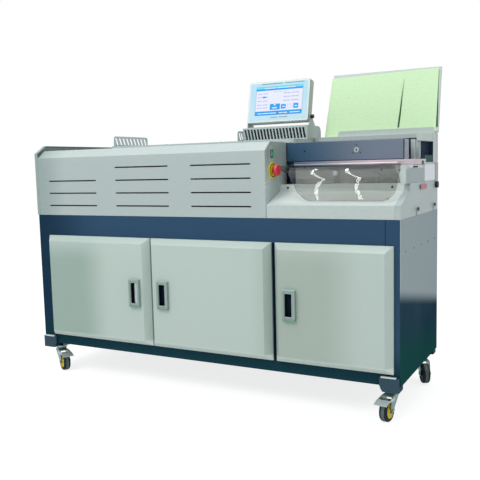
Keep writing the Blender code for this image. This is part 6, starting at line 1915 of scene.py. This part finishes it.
@dataclass
class Station(SubAssembly):
    """The loading and nipping station: deck, side plate, inner panel, table bar and shield."""

    riser_y: float = 0.1149
    riser_z: float = 0.765
    riser_screw_x: tuple[float, ...] = (1.092, 1.470)
    riser_screw: Head = Head(0.0042, 0.0024)
    inner_y: float = 0.150
    inner_places: Steps = ((1.145, 0.835), (1.423, 0.822))
    inner_screw: Head = Head(0.0032, 0.0014)
    bar_screw_x: tuple[float, ...] = (1.13, 1.27, 1.40, 1.49)
    bar_screw_y: float = 0.1475
    bar_screw: Head = Head(0.0030, 0.0014)
    bolt_y: tuple[float, ...] = (0.200, 0.455)
    bolt_z: float = 0.6875
    bolt: Head = Head(0.0072, 0.0050)
    bumper_place: Point = (1.4727, 0.0465, 0.7279)
    bumper_lean: Point = (0.0, -0.351, 0.936)
    bumper: Head = Head(0.0058, 0.0040, Look.SCREW, "bright_steel")
    gusset_screw: Point = (1.4884, 0.1275, 0.8210)
    gusset_y: float = 0.1270
    gusset_sheet: float = 0.0012
    gusset: Steps = ((1.4740, 0.8360), (1.4930, 0.7900), (1.4930, 0.8360))
    # The inner panel's dark plate, the bar end's gap plate and the left post's dark plate are
    # painted shade.
    pieces: tuple[Plate, ...] = (
        Plate("inner_panel_shade", (1.0853, 0.1488, 0.7776), (1.1080, 0.1499, 0.8494), Look.SHADOW),
        Plate("gusset_edge", (1.4934, 0.1268, 0.7776), (1.5028, 0.1279, 0.8368), Look.WHITE),
        Plate(
            "bar_end_block", (1.5035, 0.1400, 0.8374), (1.5306, 0.2680, 0.8500), Look.ALUMINIUM,
            "plain_aluminium",
        ),
        Plate("bar_end_gap", (1.5035, 0.2684, 0.8374), (1.5300, 0.2980, 0.8500), Look.SHADOW_GREEN),
        Plate("bar_end_lug", (1.5035, 0.2984, 0.8374), (1.5306, 0.3290, 0.8500), Look.GUARD),
        Plate("left_post_shadow", (1.4903, 0.1795, 0.8563), (1.4924, 0.1850, 0.9235), Look.SHADOW),
        Plate(
            "left_post", (1.4925, 0.1800, 0.8563), (1.5055, 0.1900, 0.9235), Look.LILAC,
            corner=0.0015, axis=Axis.Z,
        ),
        Plate(
            "middle_post", (1.4990, 0.2400, 0.8563), (1.5135, 0.2500, 0.9240), Look.GUARD,
            corner=0.0015, axis=Axis.Z,
        ),
        Plate(
            "right_post", (1.5060, 0.2850, 0.8563), (1.5195, 0.2960, 0.9215), Look.GUARD,
            corner=0.0040, axis=Axis.Y,
        ),
        Plate("plain_label", (1.5337, 0.2431, 0.7520), (1.5344, 0.3336, 0.7680), Look.LABEL),
    )

    def build(self) -> None:
        """Dresses sheets, bar and shield, and adds the plates, the gusset and the screws."""
        self.skin("station_deck", Look.DECK, "light_paint", 0.0012)
        self.skin("station_inner_panel", Look.WALL, "light_paint", 0.0006)
        self.skin("station_side_plate", Look.GUARD, "end_paint", 0.0010)
        self.skin("stop_knob", Look.WHITE, "case_plastic", 0.0012)
        self.skin("table_bar", Look.ALUMINIUM, "plain_aluminium", 0.0005)
        self.plates(self.pieces)
        gusset = bmesh.new()
        add_prism(gusset, list(self.gusset), Axis.Y, 0.0, self.gusset_sheet)
        gusset.transform(Matrix.Translation(cab(0, self.gusset_y, 0)))
        self.keep(object_from("station_gusset", gusset), Look.PALE, "light_paint")
        self.skin("clear_shield", Look.ACRYLIC, "clear_sheet", 0.0004, "shield")
        self.fixings()

    def fixings(self) -> None:
        """Adds the screws, the shield's bumper and the bolts in the keyhole notches."""
        riser = [(cab(x, self.riser_y, self.riser_z), FRONT) for x in self.riser_screw_x]
        self.screws("riser_screws", riser, self.riser_screw)
        inner = [(cab(x, self.inner_y, z), FRONT) for x, z in self.inner_places]
        inner.append((cab(*self.gusset_screw), FRONT))
        self.screws("inner_panel_screws", inner, self.inner_screw)
        bumper = (cab(*self.bumper_place), Vector(self.bumper_lean))
        self.screws("shield_bumper", [bumper], self.bumper)
        bar = on_top("table_bar", self.bar_screw_x, (self.bar_screw_y,))
        self.screws("bar_screws", bar, self.bar_screw)
        keyholes = on_side("station_side_plate", self.bolt_y, (self.bolt_z,))
        self.screws("keyhole_bolts", keyholes, self.bolt)


@dataclass
class BookClamp(SubAssembly):
    """The clamp carriage: slate front jaw, rear jaw, lock knob and the rods it runs on."""

    top_screw_x: tuple[float, ...] = (1.120, 1.430)
    top_screw_y: float = 0.2125
    top_screw: Head = Head(0.0052, 0.0012)
    mark_turns: tuple[float, ...] = (90, 215, 325)
    mark_reach: float = 0.0172
    mark_radius: float = 0.0022
    mark_height: float = 0.0006
    slot_half: Point = (0.0014, PROUD, 0.0048)

    def build(self) -> None:
        """Dresses both jaws, rods and knob, and adds screws and marks."""
        self.skin("front_jaw", Look.JAW, "clamp_paint", 0.0008, "front_clamp")
        # The rear jaw's dark navy is painted shade.
        self.skin("rear_jaw", Look.JAW_DARK, "light_paint", 0.0008, "carriage")
        self.skin("jaw_lock_knob", Look.CHROME, "handle_chrome", 0.0006, "jaw_lock")
        self.skin("guide_rails", Look.RAIL, "bright_steel", 0.0006)
        places = on_top("front_jaw", self.top_screw_x, (self.top_screw_y,))
        self.screws("jaw_screws", places, self.top_screw, "front_clamp")
        self.knob_marks()

    def knob_marks(self) -> None:
        """Adds the slot in the lock knob, dark with painted shade, and the three marks round it."""
        low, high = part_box("jaw_lock_knob")
        middle, half = (low + high) / 2, Vector(self.slot_half)
        front = Vector((middle.x, low.y, middle.z))
        self.block(
            "jaw_lock_slot", front - half, front + half, Look.DARK, "black_plastic", 0.0001,
            body="jaw_lock",
        )
        r, top = self.mark_radius, self.mark_height
        jaw_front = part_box("front_jaw")[0].y
        marks = bmesh.new()
        for degrees in self.mark_turns:
            turn = math.radians(degrees)
            across, up = self.mark_reach * math.cos(turn), self.mark_reach * math.sin(turn)
            spot = Vector((middle.x + across, jaw_front, middle.z + up))
            add_turned(marks, [(0.0, -PROUD), (r, -PROUD), (r, top), (0.0, top)], spot, FRONT, 16)
        piece = object_from("lock_marks", marks, even=False)
        self.keep(piece, Look.BLACK, "black_plastic", "front_clamp")


@dataclass
class RightFrame(SubAssembly):
    """The end frame at the right with its clamp knob, cover plates and steel strip."""

    hook_place: Point = (1.5288, 0.0760, 0.8190)
    hook: Head = Head(0.0034, 0.0018)
    # The catch's dark middle and the opening plates are painted shade in the catch and in the end
    # opening.
    pieces: tuple[Plate, ...] = (
        Plate(
            "end_cover_plate", (1.5287, 0.0616, 0.7780), (1.5303, 0.3025, 0.8240), Look.END_PLATE,
        ),
        Plate("end_white_block", (1.5287, 0.3090, 0.7780), (1.5322, 0.4670, 0.8364), Look.WHITE),
        Plate("end_catch", (1.5287, 0.0877, 0.8285), (1.5316, 0.2590, 0.8352), Look.SATIN),
        Plate("end_catch_shade", (1.5290, 0.1440, 0.8278), (1.5322, 0.2060, 0.8330), Look.SHADOW),
        Plate("end_column", (1.5287, 0.4485, 0.8445), (1.5297, 0.5295, 0.9512), Look.GUARD),
        Plate("end_column_edge", (1.5288, 0.4485, 0.8445), (1.5306, 0.4590, 0.9512), Look.WHITE),
        Plate(
            "side_steel_strip", (1.5287, 0.4790, 0.7690), (1.5312, 0.5290, 0.8420), Look.STRIP,
            "bright_steel",
        ),
        Plate("opening_back", (1.5093, 0.3360, 0.8700), (1.5106, 0.4470, 0.9188), Look.SHADOW),
        Plate("opening_side", (1.5113, 0.4471, 0.8697), (1.5286, 0.4482, 0.9188), Look.SHADOW),
        Plate(
            "opening_floor", (1.5113, 0.3333, 0.8688), (1.5286, 0.4470, 0.8696), Look.SHADOW_GREEN,
        ),
        Plate(
            "opening_step", (1.5113, 0.3321, 0.8372), (1.5286, 0.3332, 0.8696), Look.SHADOW_GREEN,
        ),
        Plate("opening_low", (1.5287, 0.3340, 0.8440), (1.5293, 0.4480, 0.8690), Look.SHADOW_GREEN),
    )

    def build(self) -> None:
        """Dresses the frame plate and the side knob, and adds the plates on the end."""
        self.skin("right_frame_plate", Look.PALE, "light_paint", 0.0007)
        self.skin("side_clamp_knob", Look.BLACK, "black_plastic", 0.0007, "side_knob")
        self.plates(self.pieces)
        self.screws("end_hook", [(cab(*self.hook_place), RIGHT)], self.hook)


@dataclass
class Feeder(SubAssembly):
    """The cover feeder: guide plate, backboard and one loaded sheet of green card."""

    lean: Point = (0.0, -0.978, 0.208)
    slit_shade_path: tuple[tuple[Point, float], ...] = (
        ((1.4014, 0.5343, 1.1631), 0.0008), ((1.3999, 0.5314, 1.1494), 0.0018),
        ((1.3951, 0.5189, 1.0902), 0.0046), ((1.3910, 0.5050, 1.0250), 0.0066),
        ((1.3880, 0.4951, 0.9783), 0.0056),
    )
    edge_path: tuple[tuple[Point, float], ...] = (
        ((1.5300, 0.5400, 1.1900), 0.0010), ((1.5308, 0.5173, 1.0830), 0.0026),
        ((1.5324, 0.4941, 0.9740), 0.0060),
    )

    def build(self) -> None:
        """Dresses guide, board and sheet, and lays painted shade along the sheet's slit and edge.
        """
        self.skin("cover_guide", Look.PALE, "light_paint", 0.0005)
        self.skin("cover_backboard", Look.PALE, "light_paint", 0.0006)
        self.skin("cover_sheet", Look.SHEET, "cover_stock", 0.0)
        self.strip("card_slit", self.slit_shade_path)
        self.strip("card_edge_shadow", self.edge_path)

    def strip(self, name: str, path: tuple[tuple[Point, float], ...]) -> None:
        """Lays a thin dark strip of painted shade on the leaning sheet.

        Args:
            name: The piece's name.
            path: Middle and width of the strip at its ends and bends, in the cabinet's coordinates.
        """
        shape = bmesh.new()
        lean = Vector(self.lean)
        rings = []
        for spot, width in path:
            half = Vector((width / 2, 0.0, 0.0))
            corners = (-half, half, half + lean * PROUD, -half + lean * PROUD)
            rings.append([shape.verts.new(cab(*spot) + corner) for corner in corners])
        for upper, lower in zip(rings, rings[1:]):
            for i in range(4):
                j = (i + 1) % 4
                shape.faces.new((upper[i], upper[j], lower[j], lower[i]))
        shape.faces.new(rings[0])
        shape.faces.new(rings[-1])
        self.keep(object_from(name, shape, even=False), Look.SLIT_SHADE, "cover_stock")


@dataclass
class GlueUnit(SubAssembly):
    """The milling cutter, the glue tank and its two geared rollers."""

    def build(self) -> None:
        """Dresses tank, rollers and cutter."""
        self.skin("glue_tank", Look.CAST, "cast_metal", 0.0010)
        self.skin("front_glue_roller", Look.STEEL, "roller_steel", 0.0003, "first_roller")
        self.skin("rear_glue_roller", Look.STEEL, "roller_steel", 0.0003, "second_roller")
        self.skin("milling_cutter", Look.STEEL, "bright_steel", 0.0004, "cutter")


@dataclass(frozen=True)
class Lamp:
    """One soft lamp of the studio."""

    name: str
    place: Point
    target: Point
    size: tuple[float, float]
    power: float
    turn: float = 0.0

    def build(self) -> None:
        """Adds the lamp, turned about its own axis by some degrees."""
        data = bpy.data.lights.new(self.name, "AREA")
        data.shape = "RECTANGLE"
        data.size, data.size_y = self.size
        data.energy = self.power
        lamp = bpy.data.objects.new(self.name, data)
        lamp.location = self.place
        aim = (Vector(self.target) - Vector(self.place)).to_track_quat("-Z", "Y").to_matrix()
        lamp.rotation_euler = (aim @ Matrix.Rotation(math.radians(self.turn), 3, "Z")).to_euler()
        bpy.context.scene.collection.objects.link(lamp)


@dataclass
class Studio:
    """The camera of the photograph's view, the pale surroundings and the lamps."""

    camera_place: Point = (1.3215, -2.371, 0.846)
    yaw: float = 28.2
    pitch: float = -6.18
    roll: float = 1.44
    lens: float = 51.05
    sensor: float = 36.0
    floor_half: float = 30.0
    sky: tuple[float, ...] = (0.93, 0.98, 1.0, 1.0)
    sky_light: float = 0.56
    floor_matt: float = 0.80
    floor_seen: float = 0.45
    floor_glow: float = 0.79
    lamps: tuple[Lamp, ...] = (
        Lamp("key_lamp", (-0.6, -3.2, 3.4), (0.0, 0.0, 0.6), (2.4, 1.6), 60.0),
        Lamp("top_lamp", (0.0, -0.2, 3.2), (0.0, 0.0, 0.9), (2.6, 1.4), 18.0),
        Lamp("side_lamp", (3.2, -0.8, 2.0), (0.6, 0.0, 0.6), (1.4, 1.4), 13.0),
        Lamp(
            "left_rear_strip", (-0.365, -0.12, 2.8), (-0.365, -0.12, 0.8), (0.020, 1.56), 3.0, 2.6,
        ),
        Lamp(
            "left_front_strip", (-0.530, -1.68, 2.8), (-0.530, -1.68, 0.8), (0.026, 1.60), 4.4,
            -14.5,
        ),
        Lamp(
            "right_rear_strip", (-0.125, -0.07, 2.8), (-0.125, -0.07, 0.8), (0.020, 1.46), 3.0, 4.3,
        ),
        Lamp(
            "right_front_strip", (-0.215, -1.62, 2.8), (-0.215, -1.62, 0.8), (0.026, 1.68), 4.4,
            -10.0,
        ),
    )

    def build(self) -> None:
        """Adds camera, world, floor and lamps."""
        self.camera()
        self.world()
        self.floor()
        for lamp in self.lamps:
            lamp.build()
        bpy.context.scene.view_settings.view_transform = "Standard"

    def camera(self) -> None:
        """Adds the camera with the fitted place, turn and lens."""
        turn = (
            Matrix.Rotation(math.radians(self.yaw), 3, "Z") @ Matrix.Rotation(
                math.radians(self.pitch), 3, "X",
            )
            @ Matrix.Rotation(math.radians(self.roll), 3, "Y")
        )
        axes = Matrix((turn.col[0], turn.col[2], -turn.col[1])).transposed()
        data = bpy.data.cameras.new("photo_camera")
        data.sensor_width = self.sensor
        data.lens = self.lens
        camera = bpy.data.objects.new("photo_camera", data)
        camera.matrix_world = Matrix.Translation(Vector(self.camera_place)) @ axes.to_4x4()
        bpy.context.scene.collection.objects.link(camera)
        bpy.context.scene.camera = camera

    @staticmethod
    def by_ray(
        graph: Graph, lighting: bpy.types.Node, seen: bpy.types.Node,
    ) -> bpy.types.NodeSocket:
        """Gives one shader to the rays that see the surroundings and another to the rest.

        Args:
            graph: The graph of both shaders.
            lighting: What lights the object.
            seen: What camera, glossy and transmission rays meet.

        Returns:
            The mixed shader.
        """
        path = graph.node("ShaderNodeLightPath").outputs
        first = graph.maths("MAXIMUM", path["Is Camera Ray"], path["Is Glossy Ray"])
        mixed = graph.node("ShaderNodeMixShader")
        graph.feed(mixed.inputs[0], graph.maths("MAXIMUM", first, path["Is Transmission Ray"]))
        graph.feed(mixed.inputs[1], lighting.outputs[0])
        graph.feed(mixed.inputs[2], seen.outputs[0])
        return mixed.outputs[0]

    @staticmethod
    def shader(
        graph: Graph, kind: str, colour: tuple[float, ...], strength: float | None = None,
    ) -> bpy.types.Node:
        """Adds a shader node.

        Args:
            graph: The graph it goes into.
            kind: Blender's name of the node type.
            colour: Its linear colour.
            strength: Its strength, where it has one.

        Returns:
            The node.
        """
        made = graph.node(kind)
        made.inputs["Color"].default_value = colour
        if strength is not None:
            made.inputs["Strength"].default_value = strength
        return made

    def world(self) -> None:
        """Makes the world: white where it is seen, softer where it lights the object."""
        world = bpy.data.worlds.new("studio_world")
        bpy.context.scene.world = world
        world.use_nodes = True
        world.node_tree.nodes.clear()
        graph = Graph(world.node_tree)
        soft = self.shader(graph, "ShaderNodeBackground", self.sky, self.sky_light)
        white = self.shader(graph, "ShaderNodeBackground", (1.0, 1.0, 1.0, 1.0), 1.0)
        output = graph.node("ShaderNodeOutputWorld")
        graph.feed(output.inputs["Surface"], self.by_ray(graph, soft, white))

    def floor(self) -> None:
        """Adds the pale floor, which keeps the object's shadow."""
        shape = bmesh.new()
        bmesh.ops.create_grid(shape, x_segments=2, y_segments=2, size=self.floor_half)
        floor = object_from("studio_floor", shape, even=False)
        made = bpy.data.materials.new("studio_floor")
        made.use_nodes = True
        made.node_tree.nodes.clear()
        graph = Graph(made.node_tree)
        matt = self.shader(graph, "ShaderNodeBsdfDiffuse", (self.floor_matt,) * 3 + (1.0,))
        pale = self.shader(graph, "ShaderNodeBsdfDiffuse", (self.floor_seen,) * 3 + (1.0,))
        glow = self.shader(graph, "ShaderNodeEmission", (1.0, 1.0, 1.0, 1.0), self.floor_glow)
        both = graph.node("ShaderNodeAddShader")
        graph.feed(both.inputs[0], pale.outputs[0])
        graph.feed(both.inputs[1], glow.outputs[0])
        output = graph.node("ShaderNodeOutputMaterial")
        graph.feed(output.inputs["Surface"], self.by_ray(graph, matt, both))
        floor.data.materials.append(made)


CASTERS = (
    Caster(corner="front_left", turn=60.0),
    Caster(corner="front_right", turn=-7.0),
    # The rear hubs take the tyre's dark colour: painted shade, as they stand in shadow under the
    # cabinet.
    Caster(corner="rear_left", turn=15.0, braked=False, hub_finish=Look.TYRE),
    Caster(corner="rear_right", turn=28.0, braked=False, hub_finish=Look.TYRE),
)


# Each door's tints are painted shade, darker and greener to one side; the outer doors also get
# painted light towards the top.
DOORS = (
    Door(
        side="left", slot_insets=(0.0016, 0.0016), flap=0.0150,
        tints=(
            Tint((150, 171, 161), "X", -0.53, -0.37), Tint((187, 202, 195), "Z", 0.58, 0.48, 0.8),
        ),
    ),
    Door(side="middle", tints=(Tint((168, 184, 176), "X", 0.32, 0.22, 0.7),)),
    Door(
        side="right",
        tints=(Tint((165, 179, 169), "X", 0.50, 0.66), Tint((187, 202, 195), "Z", 0.60, 0.50, 0.6)),
    ),
)


def main() -> None:
    """Loads the frame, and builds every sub-assembly and the studio."""
    logging.basicConfig(level=logging.INFO, format="%(message)s")
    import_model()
    Studio().build()
    for part in (
        Cabinet(), *DOORS, *CASTERS, Housing(), TopDeck(), TouchPanel(), Controls(), Station(),
        BookClamp(), RightFrame(), Feeder(), GlueUnit(),
    ):
        part.build()


if __name__ == "__main__":
    main()
